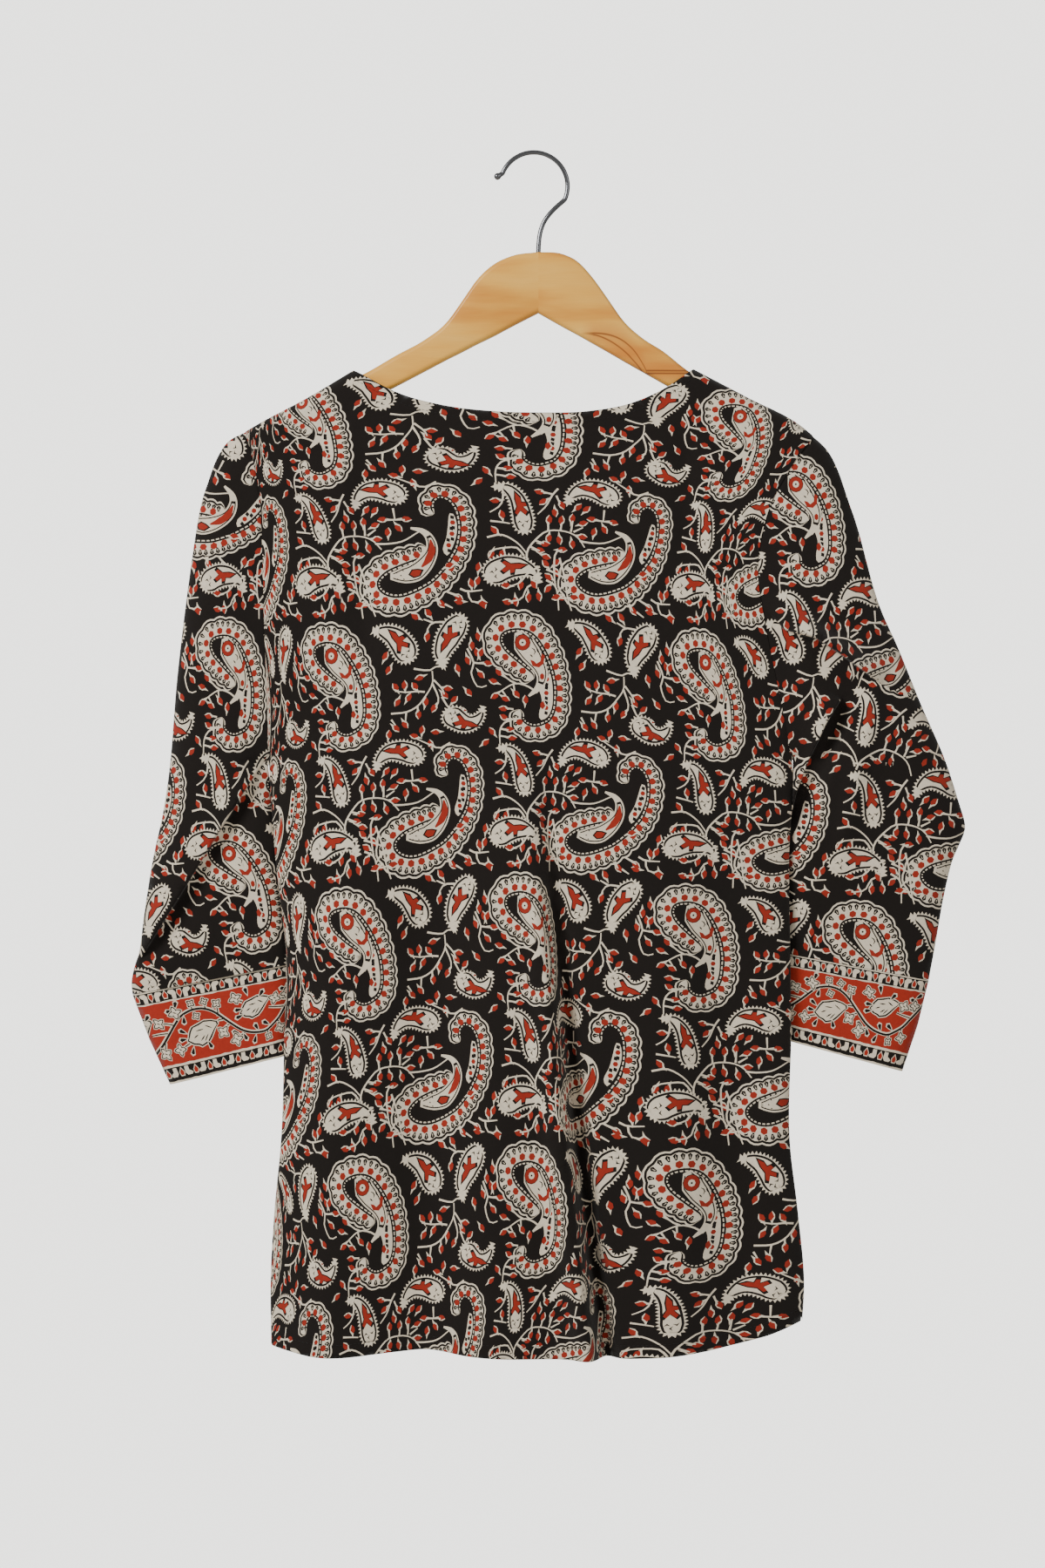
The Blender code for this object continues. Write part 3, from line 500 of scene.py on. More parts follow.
BUDS = [
    (-20, -72, 180), (-9, -73, 100), (2, -74, 60), (12, -71, 130), (19, -64, 165), (33, -64, 0),
    (-38, -60, 0), (80, -59, 45), (94, -64, 30), (61, -52, 215), (70, -53, 235), (69, -36, 100),
    (-41, -35, 80), (-47, -28, 85), (-40, -23, -70), (-34, -14, 10), (-39, -6, 50), (38, -25, -60),
    (40, -14, 120), (-25, -8, 225), (-30, 0, 200), (-29, 11, 145), (-20, 13, 30), (-12, 10, 50),
    (-5, 14, -90), (-22, 21, 185), (-22, 29, 215), (-17, 39, 0), (-15, 45, 0), (-31, 40, 235),
    (-37, 49, -40), (10, 18, -90), (44, 0, -120), (52, -1, -90), (59, 1, -120), (45, 12, 120),
    (54, 9, -60), (63, -6, 165), (67, 14, -80), (61, 24, 90), (51, 31, 60), (43, 34, 50), (37, 38, -80),
    (64, 37, -80), (57, 42, 200), (70, 49, -100), (74, 20, 120), (82, 10, 50), (85, 4, 10), (90, 14, -50),
    (95, 22, 0), (99, 28, -90), (107, 31, -40), (5, 57, 195), (8, 66, 140), (21, 68, 60), (17, 74, 80),
    (-26, 65, 180), (-22, 77, -100), (-27, 89, 230), (33, 68, -50), (40, 70, -50), (44, 78, 180),
    (61, 79, 10), (55, 85, 60), (47, 88, -80), (12, 80, -85), (22, 80, -85), (29, 78, -85), (38, 82, -20),
    (38, 92, 5), (12, 95, 100), (21, 96, 80), (30, 99, 80), (10, 99, 0), (6, 105, 10), (11, 109, 20),
    (23, 104, 0), (10, 115, 230), (19, 114, -40), (19, 121, 60), (13, 124, 215), (23, 139, 10),
    (-31, 108, 120), (-22, 108, 110), (-40, 118, -80), (-47, 130, -100), (-56, 143, 185), (-37, 145, 70),
    (-19, 143, 190), (-12, 143, 80), (-3, 140, 90), (6, 139, 80), (88, 117, -20), (108, 128, -70),
    (81, -16, 250), (101, -17, 70), (108, -23, -110)]
STEMS = [
    [(21, -94), (25, -80), (28, -64), (31, -55)], [(6, -87), (-3, -82), (-9, -75), (-17, -72)],
    [(11, -85), (19, -82), (25, -79)], [(27, -64), (21, -64)], [(83, -46), (74, -46), (70, -42), (69, -38)],
    [(74, -46), (67, -49)], [(-50, -26), (-45, -15), (-47, -7), (-42, 4), (-35, 3)],
    [(-45, -15), (-36, -14)],
    [(5, 8), (-3, 3), (-12, 1), (-19, 4), (-23, 7), (-28, 9)], [(-12, 1), (-18, -2), (-23, -7)],
    [(-23, 7), (-20, 11)], [(-14, 2), (-13, 7)], [(-11, 29), (-21, 33), (-25, 40), (-25, 51)],
    [(-14, 22), (-20, 21)], [(-15, 30), (-20, 30)], [(-25, 38), (-18, 39)], [(-25, 44), (-17, 45)],
    [(40, 21), (52, 21), (61, 17), (67, 10), (73, 0), (73, -10)],
    [(59, -13), (67, -11), (73, -11), (77, -14), (83, -12)], [(52, 21), (51, 29)], [(61, 17), (61, 22)],
    [(40, 26), (43, 31)], [(67, 6), (60, 5), (53, 5), (44, 3)], [(74, -3), (80, 4), (82, 9)],
    [(73, 0), (77, 10), (77, 16), (75, 19)], [(80, 11), (86, 21), (94, 22)],
    [(85, 49), (76, 53), (66, 48), (59, 44)], [(68, 51), (70, 49)], [(18, 54), (14, 60), (10, 69), (4, 76)],
    [(14, 59), (6, 57)], [(17, 60), (20, 67)], [(-20, 56), (-21, 66), (-24, 71), (-30, 75)],
    [(-30, 82), (-22, 83), (-16, 84)], [(-33, 95), (-22, 93), (-11, 99), (-4, 107)],
    [(-4, 111), (-3, 104), (4, 95), (12, 89), (25, 89), (34, 93), (40, 101)], [(31, 89), (38, 85)],
    [(36, 96), (44, 97), (56, 96), (69, 89)], [(53, 69), (53, 79)], [(46, 78), (60, 79)],
    [(12, 89), (12, 82)], [(21, 89), (22, 82)], [(29, 89), (30, 80)], [(2, 97), (9, 99)],
    [(-1, 102), (6, 105)],
    [(23, 104), (18, 106), (17, 117), (18, 130), (20, 136)], [(11, 127), (18, 131), (20, 138), (21, 149)],
    [(-6, 109), (-11, 103), (-20, 103), (-29, 105), (-32, 110)], [(-55, 134), (-49, 136), (-38, 135)],
    [(-49, 136), (-47, 143), (-38, 144)], [(8, 128), (-3, 132), (-8, 141), (-18, 143)],
    [(24, 131), (20, 136)], [(83, 145), (89, 148)], [(77, -64), (80, -59)], [(85, -68), (94, -64)],
    [(99, 35), (99, 29)], [(100, 37), (107, 31)], [(73, 52), (70, 49)]]
for i, (u, v, degrees) in enumerate(BUDS):
    paisley_block.bud((u, v), degrees, 1 - 2 * (i % 2))
for points in STEMS:
    paisley_block.stem(points)

# The small toothed paisleys, from the tip to the bulb, and their half widths along the way.
SMALL_PAISLEYS = [
    ([(27.5, -45), (36, -43.5), (45, -38.5), (52, -29), (56, -18)], [1.2, 5.0, 7.5, 8.5, 6.5]),
    ([(81, -12), (81, -24), (86, -35), (92, -43), (98, -50)], [1.5, 6.0, 8.5, 8.5, 5.0]),
    ([(112, 19), (110, 27), (104, 32.5), (97, 33), (89, 28), (83, 21)], [0.8, 3.0, 5.5, 7.5, 8.5, 6.5]),
    ([(25, 67), (28, 59), (36, 53), (46, 53), (55, 57), (61, 64)], [1.2, 4.0, 6.5, 8.0, 8.5, 6.0]),
    ([(-27, 54), (-18, 55), (-11.5, 62), (-8, 72), (-6, 83), (-5.5, 92)], [1.2, 4.0, 5.5, 6.5, 7.0, 5.0]),
    ([(6, 129), (1, 121), (-9, 117.5), (-19, 118), (-28, 122), (-35, 128)], [1.2, 4.0, 7.0, 8.5, 9.0, 6.5])]
# The red leaf with forked ends that lies in each, lengthwise.
FORKED = np.array([[-11, 0.4], [-6, -1.9], [-2.5, -1.6], [-1.5, -4.4], [1.2, -4.6], [1.2, -1.6], [5.5, -3.8],
                   [7.5, -1.8], [3.4, 0.6], [6.5, 3.6], [4.4, 5.0], [0, 2.0], [-5, 1.9]])
CHEVRON = np.array([[-2.1, -0.5], [0, 0.5], [2.1, -0.5], [0, 1.9]])
for points, widths in SMALL_PAISLEYS:
    spine = curve(points, 1.4)
    half = 1.1 * spread(widths, spine)
    ends = np.sqrt(1 - np.clip(1 - 1.4 * np.arange(len(spine))[::-1] / half[-1], 0, 1) ** 2)
    outline = even(ribbon(spine, half * ends), 1.45, True)
    outline = beside(outline, 2.4 * (np.arange(len(outline)) % 2) - 0.6, True)
    paisley_block.ink(ECRU, outline)
    body = slice(int(len(spine) * 0.16), -2)
    for inset, ink, step in ((0.8, BLACK, 2.2), (2.4, ECRU, 2.6)):
        ring = ribbon(spine[body], np.maximum((half * ends)[body] - inset, 0.15))
        paisley_block.ink(ink, even(ring, step, True))
    k = int(len(spine) * 0.55)
    way = np.degrees(np.arctan2(*(spine[k + 3] - spine[k - 3])[::-1]))
    paisley_block.ink(BLACK, turned(FORKED * (1.25, 1.4), way, spine[k]))
    paisley_block.ink(RED, turned(FORKED * (1.05, 1.0), way, spine[k]))
    k = int(len(spine) * 0.83)
    for across, along in ((-2.6, -1.5), (0.4, 1.8), (2.8, -1.0)):
        at = spine[k] + turned([[along, across]], way, (0, 0))[0]
        paisley_block.ink(BLACK, turned(CHEVRON, way + 35 * across, at))

# The inner drops of the two large paisleys.
U_DROP = curve([(-10.5, -39), (-6, -30), (0.5, -21), (6.5, -12), (8.5, -4), (5.5, 4), (-2, 11)], 2.0)
S_DROP = S_AT + curve([(-27, 17.5), (-20, 18), (-9, 16.5), (0, 9), (5, 0), (4.5, -9), (0, -15), (-8, -18)],
                      2.0)
for drop, widths in ((U_DROP, [3, 8.5, 8, 6, 4.4, 2.6, 0.8]),
                     (S_DROP, [2.5, 6, 7.2, 6.2, 4.8, 3.6, 2.2, 0.8])):
    half = spread(widths, drop)
    paisley_block.ink(ECRU, ribbon(drop, half))
    body = slice(1, int(len(drop) * 0.8))
    paisley_block.ink(BLACK, ribbon(drop[body], np.maximum(half[body] - 1.2, 0.3)))
    body = slice(1, int(len(drop) * 0.77))
    paisley_block.ink(ECRU, ribbon(drop[body], np.maximum(half[body] - 2.1, 0.15)))
for radius, ink, corners in ((6.3, BLACK, 12), (5.8, RED, 12), (2.7, ECRU, 8), (0.9, BLACK, 5)):
    paisley_block.ink(ink, round_shape((-7, -31), radius, corners))
paisley_block.ink(RED, [(-1, -18), (2, -17), (4, -15), (7, -17), (8, -23), (10.5, -21), (9.5, -15), (6, -12),
                        (1, -13)])
paisley_block.ink(RED, round_shape((8.5, -5), 1.9, 6, 1.4, 90))
for points in ([(0, -27), (3, -25), (2, -22)], [(4, -26), (6, -23)], [(-1, -22), (1, -20)],
               [(-2, -36), (1, -33)]):
    paisley_block.stroke(points, 0.6)
S_RED = curve([(-4, 13), (1.5, 7.5), (5, 0), (4.8, -8)], 2.0) + S_AT
paisley_block.ink(RED, ribbon(S_RED, spread([0.6, 2.7, 2.6, 0.6], S_RED)))
S_LEAF = np.array([[-4, 0], [-1.5, -2.6], [2, -2.2], [5, -1], [2.4, 2.2], [-1.5, 2.5]])
for reach, ink in ((1.35, BLACK), (1.0, RED)):
    paisley_block.ink(ink, turned(S_LEAF * reach, -8, S_AT + (-9, 17.3)))
for at in ((-22.5, 15.5), (-19.5, 18), (-22, 20.5), (-17.5, 14.5), (-17.5, 21)):
    paisley_block.ink(BLACK, round_shape(S_AT + at, 0.75, 3, 1.3, 30))


# Single buds and sprigs fill whatever ground is left, except the narrow gap along the block's top edge.
FREE = 7.8  # mm of bare ground round a bud's middle
GAP_AT, GAP_HALF = -63.0, 3.0  # where the gap lies down the block, and half its width
taken = np.concatenate([even(shape, 2.5, True) for shape in paisley_block.shapes])
taken = np.concatenate([taken + copy for copy in NEIGHBOURS])
solid = [shape for ink, shape in zip(paisley_block.inks, paisley_block.shapes)
         if ink == ECRU and np.ptp(shape) > 12]
places = np.stack(np.meshgrid(np.arange(-60, 90, 2.5), np.arange(-94, 110, 2.5)), axis=2).reshape(-1, 2)
wobble = np.random.default_rng(7)
places = places + wobble.uniform(-1, 1, places.shape)
for k in wobble.permutation(len(places)):
    at = places[k]
    away = taken - at
    near = np.hypot(away[:, 0], away[:, 1])
    if near.min() < FREE or abs(at[1] - GAP_AT) < GAP_HALF:
        continue
    if any(inside(shape, at + NEIGHBOURS).any() for shape in solid):
        continue
    nearest = away[np.argmin(near)]
    degrees = np.degrees(np.arctan2(nearest[1], nearest[0])) + 90 + 40 * wobble.uniform(-1, 1)
    paisley_block.bud(at, degrees, 1 if k % 2 else -1)
    new = np.concatenate([turned(BUD, degrees, at), [at]])
    taken = np.concatenate([taken] + [new + copy for copy in NEIGHBOURS])


# ---------------------------------------------------------------- the back panel
# One width of printed cotton cambric, hanging from the shoulder seams. It falls in soft flares, and one deep
# fold runs from the middle of the back to the hem. The neck and hem edges are turned in and stitched.

UNDERARM = 0.36
ROLL = 9.0
ARMHOLE_DEPTH = 9.0
#                 height   left   right  depth
BODY = np.array([[-915.0, -202.0, 205.0, 25.0], [-868.0, -202.5, 208.0, 24.5],
                 [-811.0, -199.5, 203.0, 24.0], [-758.0, -194.5, 197.0, 23.5],
                 [-676.0, -192.0, 198.0, 22.5], [-620.0, -190.5, 197.5, 22.0],
                 [-540.0, -199.0, 196.5, 21.0], [-463.0, -204.0, 198.5, 19.0],
                 [-417.0, -205.0, 189.0, 17.5], [-363.0, -207.0, 178.0, 15.5],
                 [-316.0, -208.0, 172.0, 13.5], [-289.0, -209.0, 176.0, 12.0],
                 [-263.0, -210.5, 185.0, 11.0], [-239.0, -215.0, 199.0, 10.0],
                 [-213.0, -222.0, 219.0, 9.2]])
SHOULDER_LEFT = np.array([[-222.0, -213.0], [-210.0, -206.0], [-176.0, -188.0], [-139.0, -166.0]])
SHOULDER_RIGHT = np.array([[123.0, -165.0], [165.0, -187.0], [206.0, -209.0], [217.0, -218.0]])
BACK_NECK = np.array([[-139.0, -166.0], [-104.0, -184.0], [-66.0, -194.0], [-30.0, -198.0], [5.0, -199.0],
                      [41.0, -198.0], [77.0, -191.0], [102.0, -179.5], [123.0, -165.0]])
HEM = np.array([[-202.0, -915.0], [-168.0, -922.0], [-107.0, -918.5], [-82.0, -917.0], [-50.0, -921.0],
                [15.0, -923.0], [57.0, -923.0], [112.0, -920.0], [157.0, -913.0], [179.0, -907.0],
                [206.0, -896.0]])
#                         height    x    fall
MAIN_FOLD = np.array([[-923.0, 50.0, 25.0], [-832.0, 38.0, 25.0], [-750.0, 28.0, 23.0],
                      [-653.0, 19.0, 19.0], [-550.0, 9.0, 9.0], [-450.0, 4.0, 0.0]])
#                      x     z   to x    to z  width height
BACK_FLARES = np.array([[-146, -430, -170, -1250, 30, 7], [-72, -420, -92, -1250, 26, -11],
                        [-18, -380, -30, -1250, 28, 6], [96, -400, 108, -1250, 28, 8],
                        [142, -470, 168, -1250, 24, -9], [-132, -200, -130, -420, 10, -4],
                        [117, -200, 117, -330, 9, -3]], float)
FADE = 0.3  # share of a fold's length over which it starts, and ends
# The deep fold's lip and valley: share of its fall, place beside its line and half width.
LIP, VALLEY = (0.65, -9.0, 11.0), (0.9, 6.0, 7.5)


def ease(t):
    t = np.clip(t, 0, 1)
    return t * t * (3 - 2 * t)


def relief(x, z, folds):
    """How far the listed folds lift the cloth at each point."""
    lift = np.zeros(np.shape(x))
    for from_x, from_z, to_x, to_z, width, height in folds:
        run = np.array([to_x - from_x, to_z - from_z], float)
        length = np.hypot(*run)
        run /= length
        along = ((x - from_x) * run[0] + (z - from_z) * run[1]) / length
        across = (x - from_x) * run[1] - (z - from_z) * run[0]
        lift += height * ease(along / FADE) * ease((1 - along) / FADE) * np.exp(-((across / width) ** 2))
    return lift


def deep_fold(x, z):
    """The lip and the valley of the deep fold in the back."""
    heights, line, fall = MAIN_FOLD.T
    apart = x - smooth(z, heights, line)
    lip, valley = (share * np.exp(-(((apart - at) / width) ** 2)) for share, at, width in (LIP, VALLEY))
    return smooth(z, heights, fall) * (lip - valley)


def to_line(x, z, points):
    """Distance from each point to a line of points."""
    nearest = np.full(np.shape(x), np.inf)
    for start, end in zip(points[:-1], points[1:]):
        run = end - start
        share = np.clip(((x - start[0]) * run[0] + (z - start[1]) * run[1]) / (run @ run), 0, 1)
        nearest = np.minimum(nearest, np.hypot(x - start[0] - share * run[0],
                                               z - start[1] - share * run[1]))
    return nearest


def seam_line(known):
    """The smooth shoulder seam through a table's points."""
    x = np.linspace(known[0, 0], known[-1, 0], 14)
    return np.stack([x, smooth(x, known[:, 0], known[:, 1])], axis=1)


RIDGES = [seam_line(SHOULDER_LEFT), seam_line(SHOULDER_RIGHT)]


def round_over(away):
    """The quarter round from an upper edge, where it's 0, to 1 at ROLL below it."""
    left = 1 - np.minimum(away / ROLL, 1)
    return np.sqrt(np.maximum(1 - left * left, 0))


def over_shoulder(x, z):
    """0 on the shoulder seam, and 1 where the cloth has come round the hanger's arm."""
    return round_over(np.minimum(to_line(x, z, RIDGES[0]), to_line(x, z, RIDGES[1])))


def top_edge(x, neck):
    height = smooth(x, neck[:, 0], neck[:, 1])
    left, right = SHOULDER_LEFT, SHOULDER_RIGHT
    height = np.where(x < left[-1, 0], smooth(x, left[:, 0], left[:, 1]), height)
    return np.where(x > right[0, 0], smooth(x, right[:, 0], right[:, 1]), height)


def hem_edge(x):
    return smooth(x, HEM[:, 0], HEM[:, 1])


def armhole_depth(share):
    """Half depth at the side edges, which closes at the underarm."""
    return ARMHOLE_DEPTH * np.sqrt(1 - np.clip(share / UNDERARM * 2 - 1, 0, 1) ** 4)


def side_x(z, side):
    """x of the left or right edge of the body at a height."""
    return smooth(z, BODY[:, 0], BODY[:, 1 if side == "left" else 2])


def panel_depth(x, z, neck, folds, deep):
    """How far the panel stands from the middle plane."""
    left, right = side_x(z, "left"), side_x(z, "right")
    column = np.clip((x - left) / (right - left), 0, 1)
    top = top_edge(x, neck)
    share = np.clip((top - z) / (top - hem_edge(x)), 0, 1)
    across = np.abs(2 * column - 1)
    edge = armhole_depth(share)
    rounded = np.maximum(1 - across**2.6, 0) ** (1 / 2.2)
    profile = rounded + (1 - across**3 - rounded) * edge / ARMHOLE_DEPTH
    middle = smooth(z, BODY[:, 0], BODY[:, 3])
    lift = relief(x, z, folds) + (deep_fold(x, z) if deep else 0)
    depth = (edge + (middle - edge) * profile + lift * ease(rounded * 1.6)) * over_shoulder(x, z)
    return np.maximum(depth, 0.15)


class Unrolled:
    """A panel laid flat row by row: s is the length of the cloth across it, from the middle line."""

    def __init__(self, depth, middle=4.7):
        self.heights = np.arange(-935.0, -150.0, 3.0)
        z = self.heights[:, None]
        turn = 0.5 - 0.5 * np.cos(np.linspace(0, np.pi, 401))[None, :]
        left, right = side_x(z, "left"), side_x(z, "right")
        left = np.where(z > -213, -222 + 0 * z, left)
        right = np.where(z > -213, 219 + 0 * z, right)
        self.x = left + turn * (right - left)
        y = depth(self.x, z + 0 * self.x)
        run = np.hypot(np.diff(self.x, axis=1), np.diff(y, axis=1))
        s = np.concatenate([0 * left, np.cumsum(run, axis=1)], axis=1)
        zero = np.array([np.interp(middle, a, b) for a, b in zip(self.x, s)])
        self.s = s - zero[:, None]

    def _look_up(self, at, z, known, values):
        place_in = (np.clip(z, self.heights[0], self.heights[-1] - 1e-6) - self.heights[0]) / 3.0
        row = place_in.astype(int)
        part = place_in - row
        found = np.zeros(len(at))
        for r in np.unique(row):
            here = row == r
            low = np.interp(at[here], known[r], values[r])
            high = np.interp(at[here], known[r + 1], values[r + 1])
            found[here] = low + part[here] * (high - low)
        return found

    def to_x(self, s, z):
        return self._look_up(s, z, self.s, self.x)

    def to_s(self, x, z):
        return self._look_up(x, z, self.x, self.s)

    def laid_flat(self, x, z):
        """Points (x, z) of the hanging panel as (s, z)."""
        return np.stack([self.to_s(x, z), z], axis=1)


# Where the printing and the hang have put the figures: block place, then place across and height.
#                 u    v       x       z
LAID = np.array([[-157, -31, -330, -200], [-7, -31, -178.9, -191.6], [143, -31, -5.4, -181],
                 [293, -31, 158.8, -202.4], [-87, 124, -242, -333], [63, 124, -89.1, -325],
                 [213, 124, 60, -327], [363, 124, 210, -336], [-157, 173, -305, -398],
                 [-7, 173, -155.4, -386.6], [143, 173, -8.7, -375.9], [293, 173, 132, -391.6],
                 [-87, 328, -210, -538],
                 [63, 328, -78.4, -524], [213, 328, 50.3, -525.3], [363, 328, 195.6, -542],
                 [-157, 377, -275, -603], [-7, 377, -142.7, -590], [143, 377, -7, -577],
                 [293, 377, 121.9, -584.5], [-87, 532, -193.6, -749], [63, 532, -68.3, -728.3],
                 [213, 532, 36.2, -728.3], [363, 532, 192.3, -731], [-157, 581, -260, -803],
                 [-7, 581, -131, -792.6], [143, 581, -1.7, -783], [293, 581, 120.9, -789],
                 [-87, 736, -191, -954], [63, 736, -68.3, -935], [213, 736, 32, -931],
                 [363, 736, 192, -935]])
STIFF = 40.0  # how far the net smooths single places, in mm


def bent_sheet(places, values):
    """A function for the stiff sheet, bent as little as it can be, that passes by values at places."""
    def pull(at, size):
        apart = ((at[:, None] - places[None]) ** 2).sum(axis=2) / 1e4
        return apart * np.log(apart + 1e-12) / 2, np.c_[np.ones(size), at / 100]

    count = len(places)
    bend, level = pull(places, count)
    bend[np.diag_indices(count)] += STIFF / 1000
    system = np.block([[bend, level], [level.T, np.zeros((3, 3))]])
    weights = np.linalg.solve(system, np.vstack([values, np.zeros((3, values.shape[1]))]))

    def sheet(at):
        return np.hstack(pull(at, len(at))) @ weights

    return sheet


def laid_on(unrolled):
    """A function from the block's (u, v) to the panel's (s, z)."""
    s = unrolled.to_s(LAID[:, 2], np.clip(LAID[:, 3], -930, -160))
    return bent_sheet(LAID[:, :2], np.stack([s, LAID[:, 3]], axis=1))


CELL = 1.3  # mm that a point of the open cloth keeps away from the inks' edges
CELL_KEY = (1, 100003)  # makes one number of a cell's column and row


def print_cloth(outline, block, lays, lines=(), spacing=10.4):
    """Cuts the cloth along its outline and the inks' edges: points, triangles and each triangle's ink.
    Each lay gives the places of the block's points, the copies (i, j) of the block, which shapes to keep by
    their middles, and the region of the cloth that it prints."""
    shapes, inks, regions = [], [], []
    low, high = outline.min(axis=0) - 1, outline.max(axis=0) + 1
    flat = np.concatenate(block.shapes)
    starts = np.cumsum([0] + [len(shape) for shape in block.shapes])
    for lay, copies, keep, region in lays:
        for i, j in copies:
            moved = lay(flat + (i * REPEAT[0], j * REPEAT[1]))
            for ink, start, end in zip(block.inks, starts[:-1], starts[1:]):
                shape = moved[start:end]
                if (shape.max(axis=0) > low).all() and (shape.min(axis=0) < high).all():
                    if keep is None or keep(*shape.mean(axis=0)):
                        shapes.append(shape)
                        inks.append(ink)
                        regions.append(region)
    edges, count = [], 0
    loops = [outline] + shapes
    for i, line in enumerate(loops + list(lines)):
        edges += [(k, k + 1) for k in range(count, count + len(line) - 1)]
        if i < len(loops):
            edges.append((count + len(line) - 1, count))
        count += len(line)
    known = np.concatenate(loops + list(lines))
    columns = np.arange(low[0], high[0], spacing)
    rows = np.arange(low[1], high[1], spacing * 0.87)
    grid = np.stack(np.meshgrid(columns, rows), axis=2)
    grid[::2, :, 0] += spacing / 2
    grid = grid.reshape(-1, 2)
    taken = np.unique(np.floor((known - low) / CELL).astype(int) @ CELL_KEY)
    at = np.floor((grid - low) / CELL).astype(int)
    free = inside(outline, grid)
    for dx in (-1, 0, 1):
        for dz in (-1, 0, 1):
            free &= ~np.isin((at + (dx, dz)) @ CELL_KEY, taken)
    everything = np.concatenate([known, grid[free]])
    made, _, triangles, _, _, _ = delaunay_2d_cdt(everything.tolist(), edges, [], 0, 1e-5, False)
    made = np.array([tuple(p) for p in made])
    triangles = np.array([list(t) for t in triangles])
    middle = made[triangles].mean(axis=1)
    order = np.argsort(middle[:, 1])
    triangles, middle = triangles[order], middle[order]
    ink = np.full(len(triangles), -1)
    for colour, shape, region in zip([BLACK] + inks, [outline] + shapes, [None] + regions):
        first, last = np.searchsorted(middle[:, 1], (shape[:, 1].min(), shape[:, 1].max()))
        near = first + np.flatnonzero((middle[first:last, 0] > shape[:, 0].min())
                                      & (middle[first:last, 0] < shape[:, 0].max()))
        near = near[inside(shape, middle[near])]
        ink[near if region is None else near[region(middle[near])]] = colour
    outside = ~inside(outline, middle)
    return made, triangles[~outside], ink[~outside]


def cloth_mesh(name, flat, space, triangles, ink, material):
    """A mesh from the cut cloth: its inks on the faces and its flat shape as a map, in millimetres."""
    used, index = np.unique(triangles, return_inverse=True)
    triangles = index.reshape(triangles.shape)
    flat, space = flat[used], space[used]
    mesh = bpy.data.meshes.new(name)
    mesh.from_pydata((space * MM).tolist(), [], triangles.tolist())
    mesh.attributes.new("ink", "FLOAT", "FACE").data.foreach_set("value", ink.astype(np.float32))
    weave = mesh.attributes.new("cloth_mm", "FLOAT_VECTOR", "POINT")
    weave.data.foreach_set("vector", np.column_stack([flat, 0 * flat[:, 0]]).astype(np.float32).ravel())
    layout = mesh.uv_layers.new(name="OFBake")
    low, span = flat.min(axis=0), np.ptp(flat, axis=0).max() * 1.02
    corners = ((flat - low) / span + 0.01)[triangles.ravel()]
    layout.data.foreach_set("uv", corners.astype(np.float32).ravel())
    mesh.shade_smooth()
    mesh.materials.append(material)
    return mesh


def printed_cotton(name, ground, ecru, red):
    """Plain-weave cotton cambric: matt and dry, threads felt more than seen, the inks a little uneven."""
    cotton, tree = new_material(name)
    ink = add(tree, "ShaderNodeAttribute", attribute_name="ink")
    weave = add(tree, "ShaderNodeAttribute", attribute_name="cloth_mm")
    is_ecru = add(tree, "ShaderNodeMath", {1: 1.0, 2: 0.2}, {0: ink.outputs["Fac"]}, operation="COMPARE")
    is_red = add(tree, "ShaderNodeMath", {1: 2.0, 2: 0.2}, {0: ink.outputs["Fac"]}, operation="COMPARE")
    first = add(tree, "ShaderNodeMix", {"A": linear(ground), "B": linear(ecru)},
                {"Factor": is_ecru.outputs["Value"]}, data_type="RGBA")
    second = add(tree, "ShaderNodeMix", {"B": linear(red)},
                 {"Factor": is_red.outputs["Value"], "A": first.outputs["Result"]}, data_type="RGBA")
    blot = add(tree, "ShaderNodeTexNoise", {"Scale": 0.35, "Detail": 4.0, "Roughness": 0.7},
               {"Vector": weave.outputs["Vector"]})
    tone = add(tree, "ShaderNodeMapRange", {"To Min": 0.78, "To Max": 1.2}, {"Value": blot.outputs["Fac"]})
    shade = add(tree, "ShaderNodeMix", {"Factor": 1.0},
                {"A": second.outputs["Result"], "B": tone.outputs["Result"]}, data_type="RGBA",
                blend_type="MULTIPLY")
    warp = add(tree, "ShaderNodeTexWave", {"Scale": 0.55, "Distortion": 0.6, "Detail Scale": 2.0},
               {"Vector": weave.outputs["Vector"]}, bands_direction="X")
    weft = add(tree, "ShaderNodeTexWave", {"Scale": 0.55, "Distortion": 0.6, "Detail Scale": 2.0},
               {"Vector": weave.outputs["Vector"]}, bands_direction="Y")
    threads = add(tree, "ShaderNodeMath", links={0: warp.outputs["Fac"], 1: weft.outputs["Fac"]},
                  operation="ADD")
    soft = add(tree, "ShaderNodeTexNoise", {"Scale": 0.05, "Detail": 3.0},
               {"Vector": weave.outputs["Vector"]})
    crumple = add(tree, "ShaderNodeBump", {"Strength": 0.5, "Distance": 0.0025},
                  {"Height": soft.outputs["Fac"]})
    weave_bump = add(tree, "ShaderNodeBump", {"Strength": 0.25, "Distance": 0.0001},
                     {"Height": threads.outputs["Value"], "Normal": crumple.outputs["Normal"]})
    fabric = add(tree, "ShaderNodeBsdfPrincipled",
                 {"Roughness": 0.88, "IOR": 1.45, "Specular IOR Level": 0.25, "Sheen Weight": 0.12,
                  "Sheen Roughness": 0.5},
                 {"Base Color": shade.outputs["Result"], "Normal": weave_bump.outputs["Normal"]})
    add(tree, "ShaderNodeOutputMaterial", links={"Surface": fabric.outputs["BSDF"]})
    return cotton


cambric = printed_cotton("block-printed cotton cambric", "#18120e", "#e8dac2", "#9c2c1c")
TURN_IN = 11.0  # how much cloth is turned in at the neck and hem
